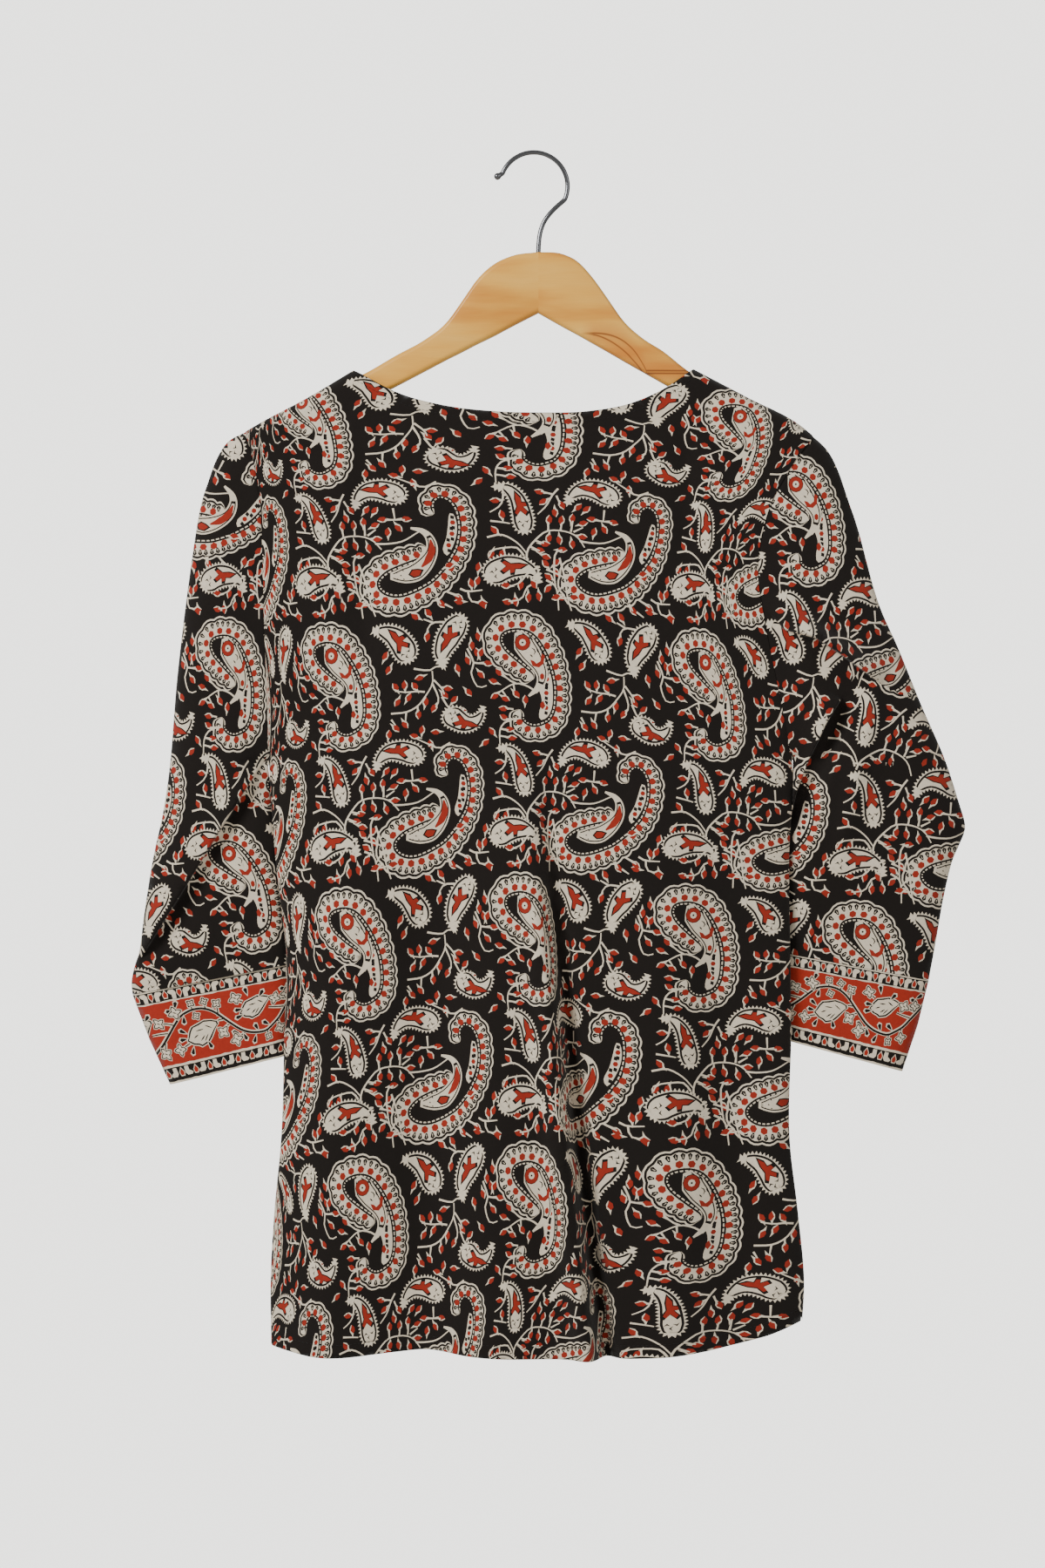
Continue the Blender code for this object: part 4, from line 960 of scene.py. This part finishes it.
# Lines of points where the cloth turns fast: this far below the shoulder seams, and inside the side edges.
BELOW_RIDGE = (0.7, 2.2, 4.5, 8.0)
INSIDE_EDGE = (1.0, 3.5)
ROWS_OF_BLOCKS = [(i, j) for j in range(-1, 4) for i in range(-1, 4)]


def turned_in(x, z, top, hem):
    """Height after the turned edges are folded in, and how far inside that layer lies."""
    below, above = hem - z, z - top
    height = np.where(below > 0, hem + below, np.where(above > 0, top - above, z))
    layer = 1.1 * np.clip(np.maximum(below, above) / 0.8, 0, 1)
    return height, layer


def panel_outline(neck, cloth):
    """The panel's cut edge in (s, z): neck and hem with their turnings, sides and armholes without."""
    x = np.linspace(-221.9, 216.9, 150)
    x = np.sort(np.concatenate([x, neck[[0, -1], 0]]))
    in_neck = (x >= neck[0, 0]) & (x <= neck[-1, 0])
    grown = np.clip(np.minimum(x - neck[0, 0], neck[-1, 0] - x) / 6, 0, 1)
    top = top_edge(x, neck) + np.where(in_neck, 1, 0) * TURN_IN * grown
    down = np.linspace(-222, HEM[-1, 1] - TURN_IN, 120)
    right = np.stack([side_x(down, "right"), down], axis=1)
    down = np.linspace(-216, HEM[0, 1] - TURN_IN, 120)
    left = np.stack([side_x(down, "left"), down], axis=1)
    across = np.linspace(HEM[-1, 0] - 3, HEM[0, 0] + 3, 120)
    hem = np.stack([across, hem_edge(across) - TURN_IN], axis=1)
    loop = np.concatenate([np.stack([x, top], axis=1), right, hem, left[::-1]])
    return cloth.laid_flat(*loop.T)


def make_panel(name, side, neck, folds, deep, material):
    """The printed and turned-in cloth of a panel, on its own side of the middle plane."""
    # The print follows the cloth over its folds, and lies level where the side edges turn away.
    cloth = Unrolled(lambda x, z: relief(x, z, folds) + (deep_fold(x, z) if deep else 0))
    across = np.linspace(HEM[0, 0] + 1, HEM[-1, 0] - 1, 140)
    over = np.linspace(neck[0, 0] + 1, neck[-1, 0] - 1, 100)
    lines = [cloth.laid_flat(across, hem_edge(across)), cloth.laid_flat(over, top_edge(over, neck))]
    for shoulder in (SHOULDER_LEFT, SHOULDER_RIGHT):
        ridge = np.linspace(shoulder[0, 0] + 4, shoulder[-1, 0] - 4, 30)
        lines += [cloth.laid_flat(ridge, top_edge(ridge, neck) - below) for below in BELOW_RIDGE]
    down = np.linspace(-236, HEM[:, 1].max() - 8, 50)
    for edge, way in (("left", 1), ("right", -1)):
        lines += [cloth.laid_flat(side_x(down, edge) + way * away, down) for away in INSIDE_EDGE]
    lays = [(laid_on(cloth), ROWS_OF_BLOCKS, None, None)]
    flat, triangles, ink = print_cloth(panel_outline(neck, cloth), paisley_block, lays, lines)
    x = cloth.to_x(flat[:, 0], flat[:, 1])
    height, layer = turned_in(x, flat[:, 1], top_edge(x, neck), hem_edge(x))
    y = np.maximum(panel_depth(x, height, neck, folds, deep) - layer, 0.1)
    space = np.stack([x, side * y, height], axis=1)
    faces = triangles if side < 0 else triangles[:, ::-1]
    return cloth_mesh(name, flat, space, faces, ink, material)


back = place("back_panel", make_panel("back_panel", -1, BACK_NECK, BACK_FLARES, True, cambric))
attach(back, "root")
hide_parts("back")

# ---------------------------------------------------------------- the front panel
# The same cotton, cut like the back but with a lower round neck. It hangs from the same shoulder seams in
# soft flares of its own, and its neck and hem are turned in and stitched in the same way.

FRONT_NECK = np.array([[-139.0, -166.0], [-112.0, -204.0], [-78.0, -240.0], [-40.0, -260.0], [-8.0, -265.0],
                       [24.0, -260.0], [62.0, -240.0], [96.0, -204.0], [123.0, -165.0]])
FRONT_FLARES = np.array([[150, -430, 166, -1250, 28, 7], [88, -400, 96, -1250, 26, -12],
                         [30, -360, 26, -1250, 24, 9], [-38, -380, -48, -1250, 24, -13],
                         [-100, -420, -112, -1250, 28, 9], [-158, -480, -168, -1250, 24, -6]], float)
front = place("front_panel", make_panel("front_panel", 1, FRONT_NECK, FRONT_FLARES, False, cambric))
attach(front, "root")
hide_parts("front")

# ---------------------------------------------------------------- the sleeves
# Each is one piece of the same cotton, closed into a tube along the underarm and set into the armhole. They
# hang a little bent. The left one folds over itself in a long slanting tuck below the elbow.

SLEEVE_ROLL = 26.0  # how far in from its edges a sleeve reaches its full depth


def rolled(away):
    """The rounding of a flattened tube: 0 on its edge, 1 from SLEEVE_ROLL inwards."""
    left = 1 - np.clip(away / SLEEVE_ROLL, 0, 1)
    return np.sqrt(1 - left**2.6)


def lay_turned(at, degrees, across=1.0):
    """A function that puts the block down at a place, turned clockwise and narrowed across."""
    c, s = np.cos(np.radians(degrees)), np.sin(np.radians(degrees))

    def lay(points):
        u, v = points[:, 0] * across, points[:, 1]
        return np.stack([at[0] + u * c - v * s, at[1] - u * s - v * c], axis=1)

    return lay


def over_line(x, z, line):
    """Distance beyond a line of points, positive to the left of its run, and the share run along it."""
    nearest, signed, share = np.full(np.shape(x), np.inf), np.zeros(np.shape(x)), np.zeros(np.shape(x))
    for k, (start, end) in enumerate(zip(line[:-1], line[1:])):
        run = end - start
        along = ((x - start[0]) * run[0] + (z - start[1]) * run[1]) / (run @ run)
        held = np.clip(along, 0, 1)
        away = np.hypot(x - start[0] - held * run[0], z - start[1] - held * run[1])
        side = np.sign((z - start[1]) * run[0] - (x - start[0]) * run[1])
        closer = away < nearest - 1e-9
        nearest = np.where(closer, away, nearest)
        signed = np.where(closer, side * away, signed)
        share = np.where(closer, (k + held) / (len(line) - 1), share)
    return signed, share


def lapped(x, z, laps):
    """How far the cloth lifts where it laps over itself: high on the left of each line, low on its right."""
    lift = np.zeros(np.shape(x))
    for line, high, low, high_reach, low_reach in laps:
        signed, share = over_line(x, z, np.array(line, float))
        fade = np.sqrt(ease(share / 0.12) * ease((1 - share) / 0.12))
        above = high * np.exp(-((np.maximum(signed, 0) / high_reach) ** 2))
        below = -low * np.exp(-((np.minimum(signed, 0) / low_reach) ** 2))
        lift += fade * (below + (above - below) * ease(signed / 1.6 + 0.5))
    return lift


# Each armhole's top and bottom, and how far the sleeve goes in under the panels' edges.
ARMHOLES = {"left": (-216, -466, 1.5), "right": (-221, -462, -1.5)}
HELD = 34.0  # how far from the armhole the panels' depth is felt in the sleeve
TUCK, TUCK_REACH = 1.2, 2.2  # how far the sleeve's head lies inside the panels, and over what distance


class Sleeve:
    """A flattened tube seen from behind: its edges, and how deep it is and where it lies by height."""

    def __init__(self, side, outer, under, laps, deep, outer_shift, under_shift, folds):
        self.side = side
        top, bottom, under_panel = ARMHOLES[side]
        heights = np.linspace(top, bottom, 60)
        self.armhole = np.stack([side_x(heights, side) + under_panel, heights], axis=1)
        self.outer = curve(outer, 4.0)
        self.under = curve(under, 4.0)
        self.cuff = even(np.array([self.outer[-1], self.under[-1]]), 4.0)
        self.deep, self.outer_shift, self.under_shift = (np.array(t, float) for t in (
            deep, outer_shift, under_shift))
        self.folds = folds
        self.laps = laps

    def outline(self):
        return np.concatenate([self.armhole[:0:-1], self.outer[:-1], self.cuff[:-1], self.under[:0:-1]])

    def y(self, x, z, way):
        """Place of the cloth on its back (way -1) or its front (way 1)."""
        to_outer, to_under = to_line(x, z, self.outer), to_line(x, z, self.under)
        share = to_outer / np.maximum(to_outer + to_under, 1e-6)
        shift = smooth(z, *self.outer_shift.T) * (1 - share) + smooth(z, *self.under_shift.T) * share
        depth = smooth(z, *self.deep.T)
        y = shift + way * depth * rolled(to_outer) * rolled(to_under)
        if way < 0:
            y = y - (relief(x, z, self.folds) + lapped(x, z, self.laps)) * rolled(to_outer)
        to_seam = to_line(x, z, self.armhole)
        share = np.clip((self.armhole[0, 1] - z) / (self.armhole[0, 1] - self.armhole[-1, 1]), 0, 1)
        edge = way * armhole_depth(share * UNDERARM) * round_over(to_outer)
        y = y + (edge - y) * (1 - ease(to_seam / HELD))
        return y - way * TUCK * np.exp(-((to_seam / TUCK_REACH) ** 2)) * round_over(to_outer)


LEFT_OUTER = [(-214.0, -210.0), (-222.0, -213.5), (-235.0, -220.5), (-243.5, -233.0), (-250.0, -250.0),
              (-257.5, -276.0), (-266.5, -336.0), (-274.5, -403.0), (-279.5, -464.0), (-285.0, -504.0),
              (-293.0, -541.0), (-300.0, -584.0), (-303.5, -611.0), (-308.0, -625.0), (-310.5, -637.0),
              (-310.0, -646.3)]
LEFT_UNDER = [(-204.5, -466.0), (-203.6, -478.0), (-201.6, -490.0), (-197.4, -520.0), (-191.8, -568.0),
              (-184.0, -621.8)]
RIGHT_OUTER = [(209.5, -213.5), (218.0, -219.5), (227.0, -229.0), (234.5, -244.0), (242.0, -266.0),
               (250.0, -290.0), (264.5, -343.0), (280.5, -380.0), (298.0, -423.0), (316.0, -464.0),
               (328.0, -500.0), (332.5, -517.0), (328.5, -530.0), (322.5, -545.0), (316.0, -574.0),
               (311.0, -604.0), (305.4, -635.3)]
RIGHT_UNDER = [(199.2, -462.0), (199.4, -478.0), (199.0, -492.0), (197.2, -512.0), (194.8, -540.0),
               (192.8, -572.0), (192.0, -598.0), (191.0, -613.8)]
#                             x     z   to x  to z width height
RIGHT_SLEEVE_FOLDS = np.array([[165, -335, 280, -418, 9, 8], [246, -405, 196, -535, 7, -7],
                               [262, -400, 232, -560, 9, 5]], float)
NO_FOLDS = np.zeros((0, 6))
# Where a sleeve laps over itself: the line, how high and low, and how far each reaches.
LEFT_LAPS = [([(-304, -621), (-272, -571), (-240, -519), (-201, -456)], 5.5, 6.0, 22, 15)]
RIGHT_LAPS = [([(172, -343), (192, -366), (216, -373), (240, -389), (266, -408)], 8.0, 5.5, 15, 13),
              ([(196, -519), (202, -490), (212, -464), (224, -438), (236, -418)], 7.0, 6.5, 14, 12)]
left_sleeve = Sleeve("left", LEFT_OUTER, LEFT_UNDER, LEFT_LAPS,
                     [[-646, 11.5], [-600, 13.5], [-541, 15.5], [-464, 14.8], [-336, 13], [-213, 9.5]],
                     [[-646, 13], [-628, 8], [-611, 4], [-584, 2.5], [-464, 1], [-213, 0]],
                     [[-622, 13], [-568, 11], [-520, 8], [-486, 4], [-466, 0]], NO_FOLDS)
right_sleeve = Sleeve("right", RIGHT_OUTER, RIGHT_UNDER, RIGHT_LAPS,
                      [[-635, 11.6], [-574, 12.6], [-518, 14.8], [-464, 15.6], [-343, 13.2], [-218, 9.5]],
                      [[-635, 15.5], [-574, 12], [-545, 10], [-518, 5.5], [-464, 1.5], [-218, 0]],
                      [[-614, 15.5], [-572, 12], [-540, 10.5], [-492, 5.0], [-462, 0]], RIGHT_SLEEVE_FOLDS)


def edge_lines(line, way):
    """Lines close beside a rounded edge, where the cloth turns fastest."""
    return [beside(line, way * away)[2:-2] for away in (0.5, 1.6, 3.6)]


def joined_sides(name, parts, material):
    """One mesh of a flattened tube's two sides, merged where their edges meet."""
    flat = np.concatenate([part[0] for part in parts])
    space = np.concatenate([part[1] for part in parts])
    triangles = np.concatenate([parts[0][2], parts[1][2] + len(parts[0][0])])
    ink = np.concatenate([part[3] for part in parts])
    mesh = cloth_mesh(name, flat, space, triangles, ink, material)
    joined = bmesh.new()
    joined.from_mesh(mesh)
    bmesh.ops.remove_doubles(joined, verts=[v for v in joined.verts if v.is_boundary], dist=0.00002)
    joined.to_mesh(mesh)
    joined.free()
    return mesh


def sleeve_mesh(name, sleeve, lays, material):
    """Both sides of a sleeve, joined along its outer edge and its underarm."""
    outline = sleeve.outline()
    way = 1 if sleeve.side == "left" else -1
    lines = edge_lines(sleeve.outer, way) + edge_lines(sleeve.under, -way)
    for lap in sleeve.laps:
        lines += [beside(even(np.array(lap[0], float), 3.0), away) for away in (-0.9, 0, 0.9)]
    lines = [line[inside(outline, line)] for line in lines]
    lines = [line for line in lines if len(line) > 2]
    parts = []
    for face in (-1, 1):
        flat, triangles, ink = print_cloth(outline, paisley_block, lays[face], lines)
        y = sleeve.y(flat[:, 0], flat[:, 1], face)
        space = np.stack([flat[:, 0], y, flat[:, 1]], axis=1)
        parts.append((flat + (400 * face, 0), space, triangles if face < 0 else triangles[:, ::-1], ink))
    return joined_sides(name, parts, material)


AROUND = [(i, j) for i in range(-3, 3) for j in range(-4, 3)]


def over_lap(lap, way):
    """The region of the cloth on one side of a lap's edge."""
    line = np.array(lap[0], float)
    return lambda at: way * over_line(at[:, 0], at[:, 1], line)[0] > 0


# How the block lies on each sleeve: turned at a given angle, and again past each lap or fold.
plain_left = [(lay_turned((-240, -400), -4), AROUND, None, None)]
plain_right = [(lay_turned((250, -400), 8), AROUND, None, None)]
above_tuck, below_tuck = over_lap(LEFT_LAPS[0], 1), over_lap(LEFT_LAPS[0], -1)
left_upper = [(lay_turned((-252.59, -150.08), 28), AROUND, lambda x, z: z > -318, above_tuck),
              (lay_turned((-230.48, -411.38), 3, 0.8), AROUND, lambda x, z: z <= -318, above_tuck),
              (lay_turned((-222.44, -566.82), -10, 0.9), AROUND, None, below_tuck)]
drag = over_lap([RIGHT_LAPS[0][0] + [(300, -424)]], 1)
beside_crease = over_lap(RIGHT_LAPS[1], 1)


def open_cloth(at):
    """The right sleeve's cloth that neither the drag fold nor the crease has moved."""
    return ~drag(at) & ~beside_crease(at)


right_upper = [(lay_turned((209.04, -284.75), -3, 0.92), AROUND, None, drag),
               (lay_turned((288, -370), 20, 0.95), AROUND, lambda x, z: z > -468, open_cloth),
               (lay_turned((249.24, -625.78), 10, 0.95), AROUND, None,
                lambda at: ~drag(at) & beside_crease(at)),
               (lay_turned((257.95, -629.13), 4), AROUND, lambda x, z: z <= -468, open_cloth)]
for side, sleeve, lays in (("left", left_sleeve, {-1: left_upper, 1: plain_left}),
                           ("right", right_sleeve, {-1: right_upper, 1: plain_right})):
    mesh = sleeve_mesh("sleeve_" + side, sleeve, lays, cambric)
    piece = place("sleeve_" + side + "_cloth", mesh)
    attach(piece, "root")
    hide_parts("sleeve_" + side)

# ---------------------------------------------------------------- the border bands
# Each cuff is a doubled band of the cloth's own border: a red ground with a flowering vine between two rows
# of small hooked petals. It is sewn round the sleeve's end.

#                      out x   out z   in x   in z  shift
LEFT_BAND = np.array([[-310.0, -646.6, -184.0, -622.1, 13.0], [-297.0, -681.0, -184.0, -657.0, 13.5],
                      [-281.0, -716.0, -185.5, -692.0, 14.0]])
RIGHT_BAND = np.array([[305.4, -635.6, 191.0, -614.1, 15.5], [297.0, -670.0, 190.0, -647.0, 16.0],
                       [285.0, -706.0, 189.0, -680.0, 16.5]])

# The border's own block, in millimetres along and down the band: edgings of hooked petals and drops on
# black, and between them a vine with spiked flower heads on red.
BAND_WIDE, BAND_TALL = 120.0, 72.0
BAND_DEPTH = 11.8  # half the depth of the band as it hangs
band_block = Block()
TAB = np.array([[-4.2, -2.2], [-2.6, -3.9], [1.6, -3.9], [3.4, -1.5], [3.0, 4.2], [-0.6, 4.2], [-0.8, 0.2],
                [-2.2, -0.4]])
DROP = np.array([[0, -4.3], [2.2, -0.2], [1.6, 3.2], [-1.6, 3.2], [-2.2, -0.2]])
HEAD = np.array([[12, -7], [8, -8.4], [2.5, -9], [-2, -7.2], [-7, -6], [-9.5, -3], [-11, 0], [-13, 3],
                 [-9, 6], [-5, 7], [-3, 8.4], [2.5, 6.4], [5.5, 3.2], [9.5, -1.8], [12.5, -5]])
SPIKE = np.array([[-3.2, 0], [-1.0, -0.9], [1.6, -1.5], [2.8, 0], [1.6, 1.5], [-1.0, 0.9]])
PETALS = [3.2 + 1.3 * np.cos(4 * t) for t in np.arange(16) * np.pi / 8]


def outlined(block, shape, reach):
    """A bare figure with a black line round it, and a thin bare line round that."""
    from_middle = shape - shape.mean(axis=0)
    outward = from_middle / np.hypot(*from_middle.T)[:, None]
    for away, ink in ((reach, ECRU), (reach * 0.58, BLACK), (-0.2, ECRU)):
        block.ink(ink, shape + away * outward)


def strip(top, bottom, uneven, seed):
    """A band across with slightly uneven edges."""
    along = np.arange(-2, BAND_WIDE + 3, 4.0)
    wander = np.random.default_rng(seed).uniform(-uneven, uneven, (2, len(along)))
    return np.concatenate([np.stack([along, top + wander[0]], axis=1),
                           np.stack([along, bottom + wander[1]], axis=1)[::-1]])


band_block.ink(ECRU, strip(-1.0, 0.9, 0.1, 1))
band_block.ink(ECRU, strip(9.3, 60.0, 0.35, 2))
band_block.ink(RED, strip(10.4, 58.2, 0.4, 3))
band_block.ink(ECRU, strip(70.4, 73.0, 0.3, 4))
for k in range(12):
    turn = 1 - 2 * (k % 2)
    band_block.ink(ECRU, TAB * (turn, 1) * (0.78, 0.9) + (7.6 + 10.6 * k, 5.1))
    for ink, grow in ((ECRU, 0.95), (RED, 0.72)):
        band_block.ink(ink, DROP * (1, turn) * grow + (2.3 + 10.6 * k, 4.8))
for k in range(10):
    band_block.ink(ECRU, TAB * (1 - 2 * (k % 2), -1) * (0.95, 0.85) + (9.4 + 13.1 * k, 64.4))
    for ink, grow in ((ECRU, 0.95), (RED, 0.72)):
        band_block.ink(ink, DROP * (1.2, 1) * grow + (3.2 + 13.1 * k, 64.8))
vine = curve([(-3, 50), (4, 46), (10, 42), (17, 36), (24, 29), (30, 23.5), (36, 21), (42, 20), (49, 21),
              (56, 25), (62, 31), (68, 37), (75, 43), (82, 46.5), (89, 48), (96, 48), (101, 45), (107, 40),
              (111, 34), (115, 28), (119, 22), (122, 17)], 3.0)
SHOOTS = [[(17, 34.5), (11, 34), (4, 34)], [(24, 29.5), (18, 27), (12, 26)], [(62, 32), (59, 32), (56, 33)],
          [(40, 20), (40, 15)], [(50, 21), (50, 15)], [(59, 29), (59, 20)], [(66, 37), (60, 40)],
          [(111, 32), (104, 31), (99, 30)], [(113, 26), (104, 24)], [(78, 46), (71, 49)],
          [(97, 48), (98, 53)],
          [(106, 42), (108, 48)], [(12, 41), (9, 49)], [(32, 45), (22, 48.5)], [(79, 22), (74, 19)]]
for line in SHOOTS:
    band_block.stem(line, 1.5)
band_block.ink(ECRU, ribbon(vine, 1.9, 1.2))
for line in SHOOTS:
    band_block.ink(BLACK, ribbon(curve(line, 3.0), 0.45))
band_block.ink(BLACK, ribbon(vine, 0.85))
for at, size in (((44, 40), 1.0), ((88, 28), 0.86), ((-5, 29), 0.9)):
    head = HEAD * size + at
    outlined(band_block, head, 1.9)
    for points in ([(-5, -3), (1, -3.4)], [(-3, 5), (1, 1.5)], [(0, 6), (4, 1)], [(3, -6), (8, -3)],
                   [(-8, 2), (-4, 0)]):
        band_block.stroke(np.array(points) * size + at, 0.55)
for u, v, degrees in ((28.5, 35.5, 215), (27, 41.5, 180), (32, 51.5, 115), (47.5, 49.5, 70), (23, 18, 180),
                      (28.5, 14, -70), (32, 27, 100), (75, 27.5, 180), (75, 33, 165), (82.5, 14, -105),
                      (94, 18, -55), (4.5, 20, -45), (70.5, 44.5, 205), (78, 49.5, 65), (88, 43.5, -115),
                      (86, 53, 110), (96, 42, 215), (115, 14, -40), (111, 18, 200)):
    band_block.ink(ECRU, turned(SPIKE * 1.45, degrees, (u, v)))
    band_block.ink(BLACK, turned(SPIKE, degrees, (u, v)))
for u, v, size in ((12, 26, 1.0), (9, 49.5, 1.1), (22, 48.5, 1.0), (26.5, 20, 1.1), (60.5, 42, 1.05),
                   (73.5, 18, 1.0), (104, 24, 1.0), (59, 19, 0.75), (70.5, 50, 1.1), (108, 48, 0.9),
                   (40, 15, 0.6), (50, 15.5, 0.6), (42, 25.5, 0.6), (98, 53, 0.6), (113, 22, 0.9)):
    turns = np.arange(16) * np.pi / 8 + u
    petals = np.stack([np.cos(turns), np.sin(turns)], axis=1) * np.array(PETALS)[:, None] * size + (u, v)
    outlined(band_block, petals, 1.5)
    band_block.stroke([(u - 1.2 * size, v - 0.8), (u + 1.2 * size, v + 0.6)], 0.5)
border_cotton = printed_cotton("border of block-printed cambric", "#18120e", "#e8dac2", "#a52d1c")


def band_mesh(name, rows, block, material):
    """Both sides of a band, joined along its two edges."""
    around = np.array([(0, 0), (BAND_WIDE, 0), (BAND_WIDE, BAND_TALL), (0, BAND_TALL)], float)
    outline = even(around, 1.6, True)
    lay = [(lambda points: points, [(0, 0)], None, None)]
    parts = []
    for face in (-1, 1):
        flat, triangles, ink = print_cloth(outline, block, lay, spacing=4.0)
        share, down = flat[:, 0] / BAND_WIDE, flat[:, 1] / BAND_TALL
        at = np.stack([np.interp(down, [0, 0.5, 1], column) for column in rows.T], axis=1)
        left, right = (at[:, :2], at[:, 2:4]) if rows[0, 0] < rows[0, 2] else (at[:, 2:4], at[:, :2])
        across = left + (right - left) * share[:, None]
        width = np.hypot(*(right - left).T)
        y = at[:, 4] + face * BAND_DEPTH * rolled(share * width) * rolled((1 - share) * width)
        space = np.stack([across[:, 0], y, across[:, 1]], axis=1)
        parts.append((flat + (200 * face, 0), space, triangles if face < 0 else triangles[:, ::-1], ink))
    return joined_sides(name, parts, material)


for side, rows in (("left", LEFT_BAND), ("right", RIGHT_BAND)):
    piece = place("cuff_" + side, band_mesh("cuff_" + side, rows, band_block, border_cotton))
    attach(piece, "root")
    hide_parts("cuff_band_" + side)

# ---------------------------------------------------------------- the stitching
# Black polyester thread, about 0.3 mm thick, in a lockstitch of 2.8 mm: round the neck 7 mm below its edge,
# and along the hem 10 mm above it. Each stitch pulls a little into the cloth.

thread, tree = new_material("black spun polyester thread")
ply = add(tree, "ShaderNodeTexWave", {"Scale": 900.0, "Distortion": 0.4}, bands_direction="DIAGONAL")
twist = add(tree, "ShaderNodeBump", {"Strength": 0.4, "Distance": 0.00004}, {"Height": ply.outputs["Fac"]})
fibre = add(tree, "ShaderNodeBsdfPrincipled",
            {"Base Color": linear("#1a1715"), "Roughness": 0.6, "IOR": 1.5},
            {"Normal": twist.outputs["Normal"]})
add(tree, "ShaderNodeOutputMaterial", links={"Surface": fibre.outputs["BSDF"]})

stitcher = bpy.data.node_groups.new("row of stitches", "GeometryNodeTree")
stitcher.is_modifier = True
stitcher.interface.new_socket("Line", in_out="INPUT", socket_type="NodeSocketGeometry")
stitch_inputs = {}
for name, kind, value in (("Pitch", "NodeSocketFloat", 0.0034), ("Length", "NodeSocketFloat", 0.0028),
                          ("Thickness", "NodeSocketFloat", 0.00032), ("Unevenness", "NodeSocketFloat", 0.06),
                          ("Thread", "NodeSocketMaterial", thread)):
    socket = stitcher.interface.new_socket(name, in_out="INPUT", socket_type=kind)
    stitch_inputs[name] = (socket.identifier, value)
stitcher.interface.new_socket("Stitches", in_out="OUTPUT", socket_type="NodeSocketGeometry")
given = add(stitcher, "NodeGroupInput")
path = add(stitcher, "GeometryNodeMeshToCurve", links={"Mesh": given.outputs["Line"]})
places = add(stitcher, "GeometryNodeCurveToPoints",
             links={"Curve": path.outputs["Curve"], "Length": given.outputs["Pitch"]}, mode="LENGTH")
half = add(stitcher, "ShaderNodeMath", {1: 0.5}, {0: given.outputs["Thickness"]}, operation="MULTIPLY")
one = add(stitcher, "GeometryNodeMeshUVSphere", {"Segments": 6, "Rings": 4}, {"Radius": half.outputs[0]})
ratio = add(stitcher, "ShaderNodeMath", links={0: given.outputs["Length"], 1: given.outputs["Thickness"]},
            operation="DIVIDE")
stretch = add(stitcher, "ShaderNodeCombineXYZ", {"X": 1.0, "Y": 1.0}, {"Z": ratio.outputs[0]})
shaped = add(stitcher, "GeometryNodeTransform", links={"Geometry": one.outputs["Mesh"],
                                                       "Scale": stretch.outputs["Vector"]})
sway = add(stitcher, "FunctionNodeRandomValue", {"Seed": 4}, data_type="FLOAT_VECTOR")
least = add(stitcher, "ShaderNodeMath", {1: -1.0}, {0: given.outputs["Unevenness"]}, operation="MULTIPLY")
low = add(stitcher, "ShaderNodeCombineXYZ", links={axis: least.outputs[0] for axis in "XYZ"})
high = add(stitcher, "ShaderNodeCombineXYZ", links={axis: given.outputs["Unevenness"] for axis in "XYZ"})
stitcher.links.new(low.outputs[0], sway.inputs["Min"])
stitcher.links.new(high.outputs[0], sway.inputs["Max"])
turn = add(stitcher, "FunctionNodeRotateRotation", links={"Rotation": places.outputs["Rotation"],
                                                         "Rotate By": sway.outputs["Value"]})
sewn = add(stitcher, "GeometryNodeInstanceOnPoints",
           links={"Points": places.outputs["Points"], "Instance": shaped.outputs["Geometry"],
                  "Rotation": turn.outputs["Rotation"]})
real = add(stitcher, "GeometryNodeRealizeInstances", links={"Geometry": sewn.outputs["Instances"]})
dyed = add(stitcher, "GeometryNodeSetMaterial", links={"Geometry": real.outputs["Geometry"],
                                                      "Material": given.outputs["Thread"]})
add(stitcher, "NodeGroupOutput", links={"Stitches": dyed.outputs["Geometry"]})


def sew(name, points):
    """A row of stitches along a line of points in millimetres."""
    line = bpy.data.meshes.new(name)
    line.from_pydata((np.asarray(points) * MM).tolist(), [(k, k + 1) for k in range(len(points) - 1)], [])
    row = place(name, line)
    sewing = row.modifiers.new("stitches", "NODES")
    sewing.node_group = stitcher
    for identifier, value in stitch_inputs.values():
        sewing[identifier] = value
    bpy.context.view_layer.update()
    made = bpy.data.meshes.new_from_object(row.evaluated_get(bpy.context.evaluated_depsgraph_get()))
    row.modifiers.remove(sewing)
    row.data = made
    bpy.data.meshes.remove(line)
    made.name = name
    made.shade_smooth()
    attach(row, "root")
    return row


NECK_MARGIN, HEM_MARGIN = 7.0, 10.0  # from the neck's edge and from the hem
STAND = 0.12  # how far the thread's middle stands off the cloth
for name, side, neck, folds, deep in (("back", -1, BACK_NECK, BACK_FLARES, True),
                                      ("front", 1, FRONT_NECK, FRONT_FLARES, False)):
    neck_x = np.linspace(neck[0, 0] + 4, neck[-1, 0] - 4, 160)
    hem_x = np.linspace(HEM[0, 0] + 5, HEM[-1, 0] - 5, 240)
    for edge, x, z in (("_neck_stitches", neck_x, top_edge(neck_x, neck) - NECK_MARGIN),
                       ("_hem_stitches", hem_x, hem_edge(hem_x) + HEM_MARGIN)):
        y = side * (panel_depth(x, z, neck, folds, deep) + STAND)
        sew(name + edge, np.stack([x, y, z], axis=1))
